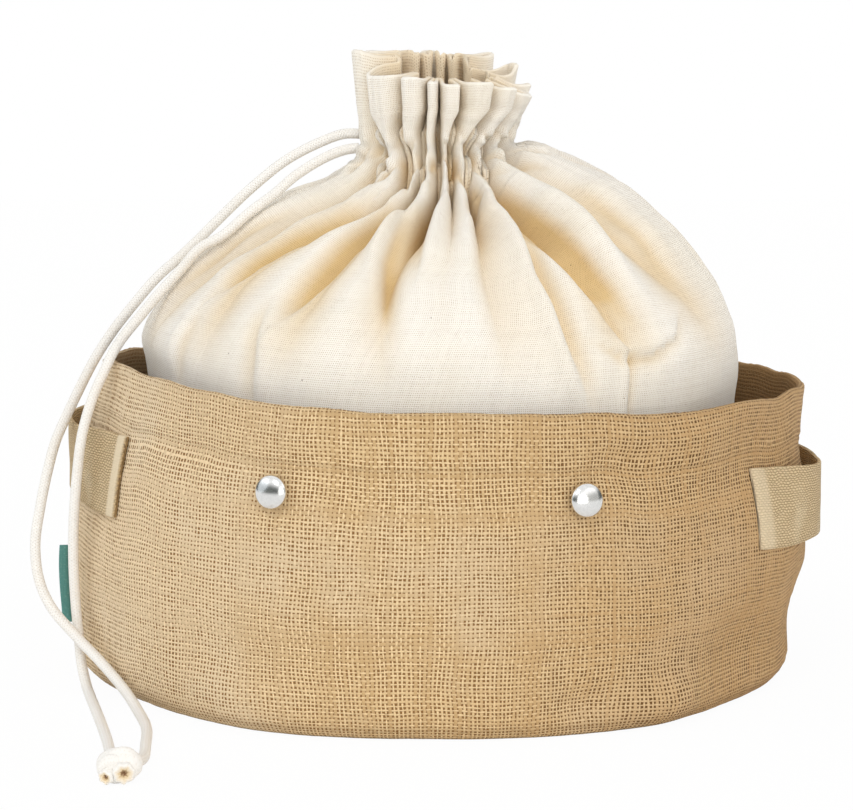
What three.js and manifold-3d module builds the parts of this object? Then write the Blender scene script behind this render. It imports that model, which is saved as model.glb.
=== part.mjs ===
// Storage bag: a round jute basket with a drawstring cotton bag standing in it, closed at the neck.
// Millimetres, +Z up. The origin is on the surface it stands on, on the axis of the basket,
// with the two press-stud caps toward -Y and the loop handles toward -X and +X.
import * as THREE from 'three';
import { mergeVertices } from 'three/addons/utils/BufferGeometryUtils.js';
import Module from 'manifold-3d';

const wasm = await Module();
wasm.setup();

// Driving dimensions
const clearance = 0.3;
const hemDepth = 24;
const juteThickness = 2;
const hemThickness = 3.6;
const baseThickness = 2.2;
const footTurnIn = 6;
const cottonThickness = 1.5;
const webbing = { width: 38, thickness: 2 };
const stud = { diameter: 15, height: 4.2 };
const cord = { diameter: 5, sides: 10 };
const label = { height: 39, reach: 5.6, thickness: 1.8 };

// Colours and finish
const jute = { color: 0xb8935f, roughness: 0.95, metalness: 0 };
const cotton = { color: 0xeee3cb, roughness: 0.9, metalness: 0 };
const cottonTape = { color: 0xbda57a, roughness: 0.9, metalness: 0 };
const cottonCord = { color: 0xe9e2d2, roughness: 0.9, metalness: 0 };
const steel = { color: 0xc9c9c6, roughness: 0.2, metalness: 1 };
const teal = { color: 0x2f7a72, roughness: 0.8, metalness: 0 };

const bag = new THREE.Group();
const radians = THREE.MathUtils.degToRad;
const { lerp, clamp, smoothstep } = THREE.MathUtils;

// An angle is measured from the front, -Y, toward the right, +X.
const fromAngle = (degrees, r, z) =>
  new THREE.Vector3(r * Math.sin(radians(degrees)), -r * Math.cos(radians(degrees)), z);

function addPiece(name, geometry, finish) {
  const mesh = new THREE.Mesh(geometry, new THREE.MeshStandardMaterial(finish));
  mesh.name = name;
  bag.add(mesh);
  return mesh;
}

// A value given toward the front, right, back and left, blended round the axis.
function round(degrees, { front, right, back, left }) {
  const c = Math.cos(radians(degrees));
  const s = Math.sin(radians(degrees));
  const facing = c > 0 ? front : back;
  const side = s > 0 ? right : left;
  return facing * c * c + side * s * s;
}

// A column of a table read at a place between its rows.
function along(rows, place, column) {
  const i = clamp(Math.floor(place), 0, rows.length - 2);
  return lerp(rows[i][column], rows[i + 1][column], clamp(place - i, 0, 1));
}

// A closed surface from rings of points: every ring has the same count, and a ring of one point is a pole.
function ringSolid(rings, { closed = false } = {}) {
  const position = [];
  const starts = [];
  for (const ring of rings) {
    starts.push(position.length / 3);
    for (const p of ring) position.push(p.x, p.y, p.z);
  }
  const index = [];
  const links = closed ? rings.length : rings.length - 1;
  for (let row = 0; row < links; row++) {
    const next = (row + 1) % rings.length;
    const [low, high] = [rings[row], rings[next]];
    const count = Math.max(low.length, high.length);
    for (let i = 0; i < count; i++) {
      const j = (i + 1) % count;
      const a = starts[row] + (low.length > 1 ? i : 0);
      const b = starts[row] + (low.length > 1 ? j : 0);
      const c = starts[next] + (high.length > 1 ? j : 0);
      const d = starts[next] + (high.length > 1 ? i : 0);
      if (low.length > 1) index.push(a, b, c);
      if (high.length > 1) index.push(a, c, d);
    }
  }
  const geometry = new THREE.BufferGeometry();
  geometry.setAttribute('position', new THREE.Float32BufferAttribute(position, 3));
  geometry.setIndex(index);
  return geometry;
}

// The pole that closes an end ring
function middleOf(ring) {
  const sum = ring.reduce((total, p) => total.add(p), new THREE.Vector3());
  return [sum.divideScalar(ring.length)];
}

// Turns a closed surface so that its faces point out.
function outward(geometry) {
  const p = geometry.getAttribute('position');
  const index = geometry.getIndex().array;
  const corner = [0, 1, 2].map(() => new THREE.Vector3());
  let volume = 0;
  for (let i = 0; i < index.length; i += 3) {
    corner.forEach((v, k) => v.fromBufferAttribute(p, index[i + k]));
    volume += corner[0].dot(corner[1].cross(corner[2]));
  }
  if (volume < 0) {
    for (let i = 0; i < index.length; i += 3) [index[i], index[i + 1]] = [index[i + 1], index[i]];
  }
  return geometry;
}

function solidOf(geometry) {
  const bare = new THREE.BufferGeometry();
  bare.setAttribute('position', geometry.getAttribute('position'));
  bare.setIndex(geometry.getIndex());
  const merged = mergeVertices(bare, 1e-4);
  const vertProperties = new Float32Array(merged.getAttribute('position').array);
  const triVerts = new Uint32Array(merged.index.array);
  return new wasm.Manifold(new wasm.Mesh({ numProp: 3, vertProperties, triVerts }));
}

function geometryOf(solid) {
  const { vertProperties, triVerts } = solid.getMesh();
  const geometry = new THREE.BufferGeometry();
  geometry.setAttribute('position', new THREE.BufferAttribute(vertProperties, 3));
  geometry.setIndex(new THREE.BufferAttribute(triVerts, 1));
  return geometry;
}

// Jute wall: the outer radius at each level, from the turned-in foot up to the rim
const wallLevels = [
  { up: 0.0, front: 168, right: 168, back: 165, left: 170, wave: 2.6 },
  { up: 0.014, front: 171.5, right: 171.5, back: 168.5, left: 174, wave: 3.0 },
  { up: 0.05, front: 174, right: 175.5, back: 172.5, left: 180.5, wave: 3.4 },
  { up: 0.13, front: 176, right: 178.5, back: 175.5, left: 183, wave: 2.6 },
  { up: 0.25, front: 177, right: 181, back: 178, left: 184, wave: 1.6 },
  { up: 0.4, front: 178.5, right: 183, back: 179, left: 182.5, wave: 1.0 },
  { up: 0.58, front: 178, right: 181.5, back: 178.5, left: 178.7, wave: 0.9 },
  { up: 0.76, front: 175.5, right: 179.5, back: 176, left: 174.5, wave: 1.0 },
  { up: 0.836, front: 174.2, right: 179.3, back: 174.5, left: 171.5, wave: 1.0 },
  { up: 0.93, front: 172.3, right: 179.8, back: 173, left: 167, wave: 1.3 },
  { up: 1.0, front: 171, right: 180.2, back: 172, left: 165, wave: 1.6 },
];
const wallColumns = 72;

// Height of the rim round the basket: it stands higher at the left.
const rimLine = [
  { at: -90, z: 152 }, { at: -70, z: 156 }, { at: -48, z: 152 }, { at: -25, z: 148.2 },
  { at: 0, z: 145.3 }, { at: 20, z: 145 }, { at: 38, z: 141.7 }, { at: 60, z: 144.4 },
  { at: 90, z: 142.6 }, { at: 120, z: 142 }, { at: 165, z: 146 }, { at: 210, z: 147.5 },
  { at: 245, z: 149.5 }, { at: 270, z: 152 },
];

function rimAt(degrees) {
  const turned = ((((degrees + 90) % 360) + 360) % 360) - 90;
  const i = rimLine.findIndex((row, k) => k > 0 && turned <= rimLine[k].at);
  const [low, high] = [rimLine[i - 1], rimLine[i]];
  return lerp(low.z, high.z, smoothstep(turned, low.at, high.at));
}

// Slow buckles in the stiff cloth, six round the foot and fewer above.
function buckle(degrees, up) {
  const foot = Math.cos(radians(6.2 * (degrees - 29)));
  const rim = Math.cos(radians(4 * degrees + 40)) + 0.5 * Math.cos(radians(7 * degrees - 60));
  return lerp(foot * Math.cos(radians(degrees)) ** 2, rim, clamp(up * 1.6, 0, 1));
}

function wallRadius(degrees, z) {
  const up = clamp(z / rimAt(degrees), 0, 1);
  let i = 0;
  while (i < wallLevels.length - 2 && up > wallLevels[i + 1].up) i++;
  const [low, high] = [wallLevels[i], wallLevels[i + 1]];
  const t = (up - low.up) / (high.up - low.up);
  const wave = lerp(low.wave, high.wave, t) * buckle(degrees, up);
  return lerp(round(degrees, low), round(degrees, high), t) + wave;
}

const turns = (count) => Array.from({ length: count }, (_, i) => (360 * i) / count);

function wallRing(heightAt, inset) {
  return turns(wallColumns).map((a) => {
    const height = heightAt(a);
    return fromAngle(a, wallRadius(a, height) - inset, height);
  });
}

// The inner edge of the turned-in foot, which the base fits
function footRing(z, gap = 0) {
  return turns(wallColumns).map((a) => fromAngle(a, wallRadius(a, 0) - footTurnIn - gap, z));
}

function makeJuteWall() {
  const outer = wallLevels.map(({ up }) => wallRing((a) => up * rimAt(a), 0));
  const hemFoot = (a) => rimAt(a) - hemDepth;
  const inner = [
    wallRing((a) => rimAt(a), hemThickness),
    wallRing((a) => rimAt(a) - hemDepth / 2, hemThickness),
    wallRing(hemFoot, hemThickness),
    wallRing((a) => hemFoot(a) - 1.5, juteThickness),
    ...[0.58, 0.4, 0.25, 0.13, 0.05].map((up) => wallRing((a) => up * rimAt(a), juteThickness)),
    footRing(baseThickness),
    footRing(0),
  ];
  const crest = turns(wallColumns).map((a) =>
    fromAngle(a, wallRadius(a, rimAt(a)) - hemThickness / 2, rimAt(a) + 1));
  addPiece('jute_wall', ringSolid([...outer, crest, ...inner], { closed: true }), jute);
}

function makeJuteBase() {
  const pole = (z) => [new THREE.Vector3(0, 0, z)];
  const rings = [pole(0), footRing(0, clearance), footRing(baseThickness, clearance), pole(baseThickness)];
  addPiece('jute_base', ringSolid(rings), jute);
}

// Cotton bag levels from its floor to the top of the ruffle: radius and height toward the front, right,
// back and left, how deep the pleats are gathered, and how narrow their valleys are.
const bagFloor = baseThickness + clearance;
const flatFloor = [bagFloor, bagFloor, bagFloor, bagFloor];
const bagLevels = [
  { level: 'floor', r: [132, 132, 132, 130], z: flatFloor, gather: 0, crease: 1 },
  { level: 'corner', r: [143, 143, 143, 141], z: [9, 9, 9, 9], gather: 0, crease: 1 },
  { level: 'low', r: [150, 149, 150, 146], z: [48, 48, 48, 48], gather: 1, crease: 1 },
  { level: 'tuck', r: [152, 147, 150, 143], z: [124, 124, 124, 126], gather: 2, crease: 1 },
  { level: 'rim', r: [151.5, 149, 150, 145], z: [147, 148, 148, 151], gather: 1.5, crease: 1 },
  { level: 'widest', r: [148, 148, 148, 146], z: [165, 165, 167, 167], gather: 2.5, crease: 1 },
  { level: 'shoulder', r: [139, 144, 141, 136], z: [183, 184, 188, 184], gather: 4.5, crease: 1 },
  { level: 'slope', r: [125, 132, 130, 120], z: [199, 202, 206, 202], gather: 7, crease: 1.1 },
  { level: 'crown', r: [103, 113, 111, 98], z: [218, 226, 228, 221], gather: 10, crease: 1.3 },
  { level: 'upper', r: [80, 89, 87, 74], z: [230, 243, 244, 234], gather: 13, crease: 1.6 },
  { level: 'collar', r: [60, 64, 63, 54], z: [238.5, 254, 253, 242], gather: 16, crease: 2 },
  { level: 'foot', r: [47, 50, 49, 43], z: [245.5, 258, 257, 249], gather: 19, crease: 2.4 },
  { level: 'pinch', r: [38, 38, 38, 37.5], z: [256, 258.5, 258.5, 257], gather: 23, crease: 2.6 },
  { level: 'casing', r: [38, 38, 38, 38], z: [263, 263, 263, 263], gather: 22.5, crease: 3 },
  { level: 'ruffle', r: [41, 43, 41, 40], z: [277, 275, 279, 280], gather: 21.5, crease: 3.4 },
  { level: 'top', r: [43, 47, 43, 42], z: [290.5, 283, 302, 303], gather: 21, crease: 3.6 },
];
const levelAt = Object.fromEntries(bagLevels.map(({ level }, i) => [level, i]));
const sides = (values) => ({ front: values[0], right: values[1], back: values[2], left: values[3] });

// The valleys between the pleats: their angles at the ruffle, neck, foot, crown, slope and rim,
// and how deep each one stays on the crown and on the slope.
const valleys = [
  { ruffle: -67, neck: -56, foot: -44, crown: -57, slope: -66, rim: -74, onCrown: 0.9, onSlope: 0.7 },
  { ruffle: -30, neck: -33, foot: -20, crown: -36, slope: -47, rim: -50, onCrown: 1.2, onSlope: 1.0 },
  { ruffle: -9, neck: -12.5, foot: -11, crown: -20, slope: -25, rim: -30, onCrown: 1.1, onSlope: 0.9 },
  { ruffle: 0.5, neck: -0.5, foot: 1, crown: -8, slope: -11, rim: -9, onCrown: 1.3, onSlope: 0.8 },
  { ruffle: 17.5, neck: 11.5, foot: 8, crown: 3, slope: 1, rim: 2, onCrown: 0.5, onSlope: 0.1 },
  { ruffle: 44, neck: 29, foot: 18, crown: 11, slope: 10, rim: 13, onCrown: 1.0, onSlope: 0.5 },
  { ruffle: 63, neck: 48, foot: 31, crown: 31, slope: 35, rim: 38, onCrown: 1.5, onSlope: 1.5 },
  { ruffle: 90, neck: 69, foot: 50, crown: 52, slope: 58, rim: 66, onCrown: 0.9, onSlope: 0.9 },
  { ruffle: 111, neck: 98, foot: 88, crown: 92, slope: 96, rim: 100, onCrown: 0.5, onSlope: 0.3 },
  { ruffle: 133, neck: 126, foot: 121, crown: 124, slope: 126, rim: 128, onCrown: 0.9, onSlope: 0.7 },
  { ruffle: 155, neck: 152, foot: 150, crown: 147, slope: 145, rim: 147, onCrown: 1.1, onSlope: 0.5 },
  { ruffle: 176, neck: 176, foot: 177, crown: 173, slope: 170, rim: 168, onCrown: 1.2, onSlope: 0.9 },
  { ruffle: 198, neck: 200, foot: 203, crown: 204, slope: 207, rim: 208, onCrown: 0.8, onSlope: 0.4 },
  { ruffle: 222, neck: 225, foot: 229, crown: 227, slope: 226, rim: 228, onCrown: 1.1, onSlope: 0.8 },
  { ruffle: 250, neck: 255, foot: 260, crown: 256, slope: 251, rim: 248, onCrown: 0.7, onSlope: 0.4 },
];
const columnsPerPleat = 7;

// Height of the ruffle's edge over each pleat, pleat by pleat from the one after the first valley.
const pleatTops = [
  291.5, 291, 289, 287.5, 288.5, 285.5, 282, 287,
  297, 302.5, 301.5, 303.5, 301.5, 303.5, 304,
];

const stations = [
  { place: levelAt.rim, column: 'rim' },
  { place: levelAt.slope, column: 'slope' },
  { place: levelAt.crown, column: 'crown' },
  { place: levelAt.foot, column: 'foot' },
  { place: levelAt.casing, column: 'neck' },
  { place: levelAt.ruffle, column: 'ruffle' },
];

function valleyAngle(index, place) {
  const turn = 360 * Math.floor(index / valleys.length);
  const valley = valleys[index % valleys.length];
  let i = 0;
  while (i < stations.length - 2 && place > stations[i + 1].place) i++;
  const [low, high] = [stations[i], stations[i + 1]];
  const t = clamp((place - low.place) / (high.place - low.place), 0, 1);
  return turn + lerp(valley[low.column], valley[high.column], t);
}

function valleyDepth(index, place) {
  const valley = valleys[index % valleys.length];
  const onNeck = smoothstep(place, levelAt.upper, levelAt.foot);
  const onSlope = 1 - smoothstep(place, levelAt.slope, levelAt.upper);
  return lerp(lerp(valley.onCrown, valley.onSlope, onSlope), 1, onNeck);
}

// A point of the cotton: pleat from 0 to 15 round the bag, place from 0 at the floor to the top level.
function cottonPoint(pleat, place) {
  const index = Math.floor(pleat);
  const share = (1 - Math.cos(Math.PI * (pleat - index))) / 2;
  const degrees = lerp(valleyAngle(index, place), valleyAngle(index + 1, place), share);
  const i = clamp(Math.floor(place), 0, bagLevels.length - 2);
  const t = place - i;
  const radiusAt = (k) => round(degrees, sides(bagLevels[k].r));
  const heightAt = (k) => round(degrees, sides(bagLevels[k].z));
  const nearTop = smoothstep(place, levelAt.casing, levelAt.top);
  const edge = lerp(pleatTops[index % valleys.length], heightAt(levelAt.top) - 3, (2 * share - 1) ** 4);
  const rise = nearTop * (edge - heightAt(levelAt.top));
  const r = lerp(radiusAt(i), radiusAt(i + 1), t);
  const z = lerp(heightAt(i), heightAt(i + 1), t) + rise;
  const before = Math.max(i - 1, 0);
  const after = Math.min(i + 2, bagLevels.length - 1);
  const run = radiusAt(after) - radiusAt(before);
  const climb = heightAt(after) - heightAt(before);
  const gather = along(bagLevels, place, 'gather');
  const crease = along(bagLevels, place, 'crease') + 0.6;
  const near = valleyDepth(index, place) * Math.max(0, 1 - 2 * share) ** crease;
  const far = valleyDepth(index + 1, place) * Math.max(0, 2 * share - 1) ** crease;
  const sink = (gather * (near + far)) / Math.hypot(run, climb);
  return fromAngle(degrees, r - sink * climb, z + sink * run);
}

function makeCottonBag() {
  const columns = valleys.length * columnsPerPleat;
  const outer = [[new THREE.Vector3(0, 0, bagFloor)]];
  for (let place = 0; place < bagLevels.length; place++) {
    outer.push(Array.from({ length: columns }, (_, i) => cottonPoint(i / columnsPerPleat, place)));
  }
  const sheet = ringSolid(outer);
  sheet.computeVertexNormals();
  const normal = sheet.getAttribute('normal');
  let at = 0;
  const inner = outer.map((ring) => ring.map((p) => {
    const n = new THREE.Vector3().fromBufferAttribute(normal, at++);
    return p.clone().addScaledVector(n, -cottonThickness);
  }));
  addPiece('cotton_bag', ringSolid([...outer, ...inner.reverse()]), cotton);
}

// Loop handles: a length of webbing sewn to the wall at both ends, standing off between them.
// Heights are of the band's middle line at its front end, at the loop and at its back end.
const handles = [
  { name: 'handle_left', middle: -90, span: 32.5, front: 107.5, loop: 100.6, back: 100, standOff: 8.1 },
  { name: 'handle_right', middle: 89, span: -34.1, front: 93.5, loop: 84.5, back: 86, standOff: 5.8 },
];

function makeHandle({ name, middle, span, front, loop, back, standOff }) {
  const steps = 26;
  const rows = 3;
  const rings = [];
  for (let i = 0; i <= steps; i++) {
    const t = (2 * i) / steps - 1;
    const degrees = middle - span * t;
    const lift = smoothstep(1 - Math.abs(t), 0.14, 0.62);
    const height = lerp(loop, t < 0 ? front : back, Math.abs(t));
    const side = (depth) => Array.from({ length: rows + 1 }, (_, row) => {
      const z = height + webbing.width * (row / rows - 0.5);
      const wall = lerp(wallRadius(degrees, z), wallRadius(degrees, height), lift);
      return fromAngle(degrees, wall + clearance + 0.1 + standOff * lift + depth, z);
    });
    rings.push([...side(webbing.thickness), ...side(0).reverse()]);
  }
  addPiece(name, outward(ringSolid([middleOf(rings[0]), ...rings, middleOf(rings[steps])])), cottonTape);
}

// Press-stud caps on the front of the wall, just below the hem
const studs = [
  { name: 'stud_left', at: -24.8, z: 111 },
  { name: 'stud_right', at: 21.2, z: 108 },
];

function makeStud({ name, at, z }) {
  const half = stud.diameter / 2;
  const rim = 0.9;
  const profile = [new THREE.Vector2(0, 0), new THREE.Vector2(half - 0.5, 0), new THREE.Vector2(half, 0.4)];
  for (let i = 0; i <= 4; i++) {
    const a = radians(22.5 * i);
    profile.push(new THREE.Vector2(half * Math.cos(a), rim + (stud.height - rim) * Math.sin(a)));
  }
  profile[profile.length - 1].x = 0;
  const up = fromAngle(at, wallRadius(at, z + 5), z + 5).sub(fromAngle(at, wallRadius(at, z - 5), z - 5));
  const across = fromAngle(at + 90, 1, 0);
  const normal = across.cross(up).normalize();
  const cap = addPiece(name, new THREE.LatheGeometry(profile, 24), steel);
  cap.quaternion.setFromUnitVectors(new THREE.Vector3(0, 1, 0), normal);
  cap.position.copy(fromAngle(at, wallRadius(at, z), z)).addScaledVector(normal, clearance + 0.05);
}

// A plain folded tab sewn into the wall at the left
function makeLabel() {
  const at = -88;
  const foot = 19.5;
  const rows = 5;
  const rings = [];
  for (let row = 0; row <= rows; row++) {
    const z = foot + (label.height * row) / rows;
    const root = wallRadius(at, z) + clearance;
    const half = THREE.MathUtils.radToDeg(label.thickness / 2 / root);
    const tip = root + label.reach;
    const lean = 0.35 * half * Math.sin(Math.PI * row / rows);
    rings.push([
      fromAngle(at - half, root, z),
      fromAngle(at + half, root, z),
      fromAngle(at + half + lean, tip - 0.7, z),
      fromAngle(at + half / 2 + lean, tip, z),
      fromAngle(at - half / 2 + lean, tip, z),
      fromAngle(at - half + lean, tip - 0.7, z),
    ]);
  }
  addPiece('side_label', outward(ringSolid([middleOf(rings[0]), ...rings, middleOf(rings[rows])])), teal);
}

// Drawstring: two strands out of the casing at the left of the neck, over the bag and the rim,
// down past the left handle and along the floor to one knot. Their middle lines:
const outerRoute = [
  [-38.7, 3.5, 263.5], [-47, 3, 263.3], [-60, 1, 258.6], [-76, -2, 250], [-93, -4, 236.3], [-107, -6, 223],
  [-117.5, -8, 212.6], [-127, -10, 203.6], [-138, -13, 194], [-148.5, -17, 182], [-159.5, -22, 168],
  [-167.8, -28, 155], [-175.5, -36, 139.8], [-181.8, -44, 126.5], [-186, -50, 117.5], [-190, -56, 104],
  [-193.5, -62, 86], [-194, -66, 70], [-192, -70, 54], [-187.5, -74, 41.5], [-175, -80, 28.8],
  [-161.7, -88, 20.3], [-147, -108.5, 9], [-139.5, -129, 2.9], [-132.5, -153, 2.6], [-128, -186, 2.6],
  [-126.5, -208, 2.8], [-129.9, -228.6, 6],
];
const innerRoute = [
  [-39, -4, 256.8], [-46, -5, 255.8], [-56, -8, 252], [-70, -14, 243.5], [-80, -22, 235], [-91, -30, 227],
  [-104.5, -31, 215.6], [-116, -29, 209], [-125.5, -27, 198.4], [-136, -29, 187], [-144.3, -38, 177],
  [-151.8, -49, 167.6], [-156, -57.5, 160.6], [-159.4, -63, 152.6], [-164, -67, 142], [-167.6, -71, 130],
  [-169.4, -74, 121], [-171.6, -75, 103.5], [-173.4, -74.5, 83.3], [-174, -73.5, 63], [-173.4, -73, 43.4],
  [-172, -73.5, 26], [-170, -74.5, 13.5], [-166.4, -79, 4.6], [-161.5, -93, 2.6], [-156, -124, 2.6],
  [-148, -176, 2.6], [-143.2, -206, 2.8], [-139.6, -228.4, 6],
];
const knotPlace = new THREE.Vector3(-135, -236, 8);

function makeCord(name, route, steps) {
  const half = cord.diameter / 2;
  const section = new THREE.Shape(turns(cord.sides).map((a) =>
    new THREE.Vector2(half * Math.cos(radians(a)), half * Math.sin(radians(a)))));
  const extrudePath = new THREE.CatmullRomCurve3(route.map((p) => new THREE.Vector3(...p)));
  const strand = new THREE.ExtrudeGeometry(section, { steps, extrudePath, bevelEnabled: false });
  addPiece(name, strand, cottonCord);
}

// Overhand knot of both strands: three wraps round a core, with the two cut ends in front
function makeKnot() {
  const body = new THREE.SphereGeometry(8, 18, 12);
  const place = body.getAttribute('position');
  for (let i = 0; i < place.count; i++) {
    const p = new THREE.Vector3().fromBufferAttribute(place, i);
    const turn = Math.atan2(p.z, p.y) + 0.16 * p.x;
    const wraps = 0.55 * Math.cos(3 * turn) * Math.sqrt(Math.max(0, 1 - (p.x / 8) ** 2));
    p.multiplyScalar(1 + wraps / 8);
    place.setXYZ(i, p.x, p.y, Math.max(p.z, 0.02 - knotPlace.z));
  }
  let knot = solidOf(body);
  for (const { x, turn, length } of [{ x: -3.6, turn: 24, length: 13 }, { x: 3.2, turn: -18, length: 12 }]) {
    const end = new THREE.CylinderGeometry(cord.diameter / 2, cord.diameter / 2 - 0.3, length, cord.sides);
    end.rotateX(radians(8)).rotateZ(radians(turn)).translate(x, -length / 2 - 0.5, -4.4);
    knot = knot.add(solidOf(end));
  }
  const mesh = addPiece('cord_knot', geometryOf(knot), cottonCord);
  mesh.position.copy(knotPlace);
}

makeJuteWall();
makeJuteBase();
makeCottonBag();
handles.forEach(makeHandle);
studs.forEach(makeStud);
makeLabel();
makeCord('cord_outer', outerRoute, 40);
makeCord('cord_inner', innerRoute, 40);
makeKnot();

export default bag;
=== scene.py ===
# Storage bag: a jute basket with a drawstring cotton bag standing in it, its neck drawn shut.
import math
import random
import bmesh
import bpy
from mathutils import Matrix, Vector, noise


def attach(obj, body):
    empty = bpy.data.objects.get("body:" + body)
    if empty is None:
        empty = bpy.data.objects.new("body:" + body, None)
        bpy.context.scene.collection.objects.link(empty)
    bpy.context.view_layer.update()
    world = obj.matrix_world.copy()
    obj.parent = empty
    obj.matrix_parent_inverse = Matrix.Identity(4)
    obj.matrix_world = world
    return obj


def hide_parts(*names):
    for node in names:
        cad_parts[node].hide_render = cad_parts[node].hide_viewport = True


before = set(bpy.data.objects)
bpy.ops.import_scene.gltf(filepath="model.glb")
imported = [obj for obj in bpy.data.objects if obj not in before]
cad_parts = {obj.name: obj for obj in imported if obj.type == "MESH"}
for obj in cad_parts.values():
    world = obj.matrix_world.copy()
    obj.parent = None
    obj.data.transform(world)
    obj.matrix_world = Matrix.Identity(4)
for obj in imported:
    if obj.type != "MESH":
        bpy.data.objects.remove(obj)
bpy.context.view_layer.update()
bpy.ops.object.select_all(action="DESELECT")
mm = 0.001
seeded = random.Random(7)  # the tucks of the neck are drawn from it


def lerp(a, b, t):
    return a + (b - a) * t


def clamp(x, low=0.0, high=1.0):
    return max(low, min(high, x))


def smoothStep(x, low, high):
    t = clamp((x - low) / (high - low))
    return t * t * (3 - 2 * t)


def signedTurn(degrees):  # the same turn, counted from -180 to 180
    return (degrees + 180) % 360 - 180


def noiseAt(x, y, z):
    return noise.noise(Vector((x, y, z)))


def noiseRound(degrees, scale, z):  # a pattern that meets itself round the axis
    a = math.radians(degrees)
    return noiseAt(scale * math.cos(a), scale * math.sin(a), z)


def table(names, *rows):  # a dictionary for each row of values
    return [dict(zip(names.split(), row)) for row in rows]


def fromAngle(degrees, radius, z):  # degrees from the front, -Y, toward the right, +X
    a = math.radians(degrees)
    return Vector((radius * math.sin(a), -radius * math.cos(a), z))


def roundSides(degrees, sides):  # values toward the front, right, back and left, blended round the axis
    c = math.cos(math.radians(degrees))
    s = math.sin(math.radians(degrees))
    facing = sides[0] if c > 0 else sides[2]
    side = sides[1] if s > 0 else sides[3]
    return facing * c * c + side * s * s


def splineValue(values, place):  # a smooth line through evenly spaced values
    i = int(clamp(math.floor(place), 0, len(values) - 2))
    t = place - i
    p1, p2 = values[i], values[i + 1]
    p0 = values[i - 1] if i > 0 else 2 * p1 - p2
    p3 = values[i + 2] if i + 2 < len(values) else 2 * p2 - p1
    bend = 2 * p0 - 5 * p1 + 4 * p2 - p3
    return p1 + 0.5 * t * (p2 - p0 + t * (bend + t * (3 * (p1 - p2) + p3 - p0)))


# Meshes from rings of points
def ringMesh(name, rings, uvAt, closed=False):  # uvAt: where the weave is at a row and a column
    count = max(len(ring) for ring in rings)
    starts, places = [], []
    for ring in rings:
        starts.append(len(places))
        places.extend(p * mm for p in ring)
    faces, corners = [], []
    for row in range(len(rings) if closed else len(rings) - 1):
        after = (row + 1) % len(rings)
        for col in range(count):
            turn = (col + 1) % count
            face, uv = [], []
            for ringAt, rowAt, cols in ((row, row, (col, col + 1)), (after, row + 1, (col + 1, col))):
                if len(rings[ringAt]) == 1:
                    face.append(starts[ringAt])
                    uv.append(uvAt(rowAt, col + 0.5))
                else:
                    for c in cols:
                        face.append(starts[ringAt] + (turn if c > col else col))
                        uv.append(uvAt(rowAt, c))
            faces.append(face)
            corners.extend(uv)
    mesh = bpy.data.meshes.new(name)
    mesh.from_pydata([tuple(p) for p in places], [], faces)
    layer = mesh.uv_layers.new(name="cloth")
    layer.data.foreach_set("uv", [value for uv in corners for value in uv])
    turnOutward(mesh)
    mesh.polygons.foreach_set("use_smooth", [True] * len(mesh.polygons))
    piece = bpy.data.objects.new(name, mesh)
    bpy.context.collection.objects.link(piece)
    return piece


def turnOutward(mesh):
    shape = bmesh.new()
    shape.from_mesh(mesh)
    bmesh.ops.recalc_face_normals(shape, faces=shape.faces)
    shape.to_mesh(mesh)
    shape.free()


def addValues(piece, name, values):  # one number for each point, which a material reads
    attribute = piece.data.attributes.new(name, "FLOAT", "POINT")
    attribute.data.foreach_set("value", values)


def addRingValues(piece, name, rings, values):  # the same, from one number for each ring
    addValues(piece, name, [value for ring, value in zip(rings, values) for _ in ring])


def closedEnds(rings):  # with a point in the middle of each end
    first, last = ([sum(ring, Vector()) / len(ring)] for ring in (rings[0], rings[-1]))
    return [first, *rings, last]


def riseOf(rings, every):  # how far along the cloth each ring is, as the mean at some of its points
    rise = [0.0]
    for low, high in zip(rings, rings[1:]):
        steps = [(b - a).length for a, b in zip(low[::every], high[::every])]
        rise.append(rise[-1] + sum(steps) / len(steps))
    return rise


def gridNormals(rings):  # rings of equal count, closed round the turn
    count = len(rings[0])
    normals = []
    for row, ring in enumerate(rings):
        above, below = rings[min(row + 1, len(rings) - 1)], rings[max(row - 1, 0)]
        line = []
        for col in range(count):
            across = ring[(col + 1) % count] - ring[col - 1]
            line.append(across.cross(above[col] - below[col]).normalized())
        normals.append(line)
    return normals


# Materials
def newMaterial(name, surface):
    material = bpy.data.materials.new(name)
    material.use_nodes = True
    shader = material.node_tree.nodes["Principled BSDF"]
    for key, value in surface.items():
        shader.inputs[key].default_value = value
    return material


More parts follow.
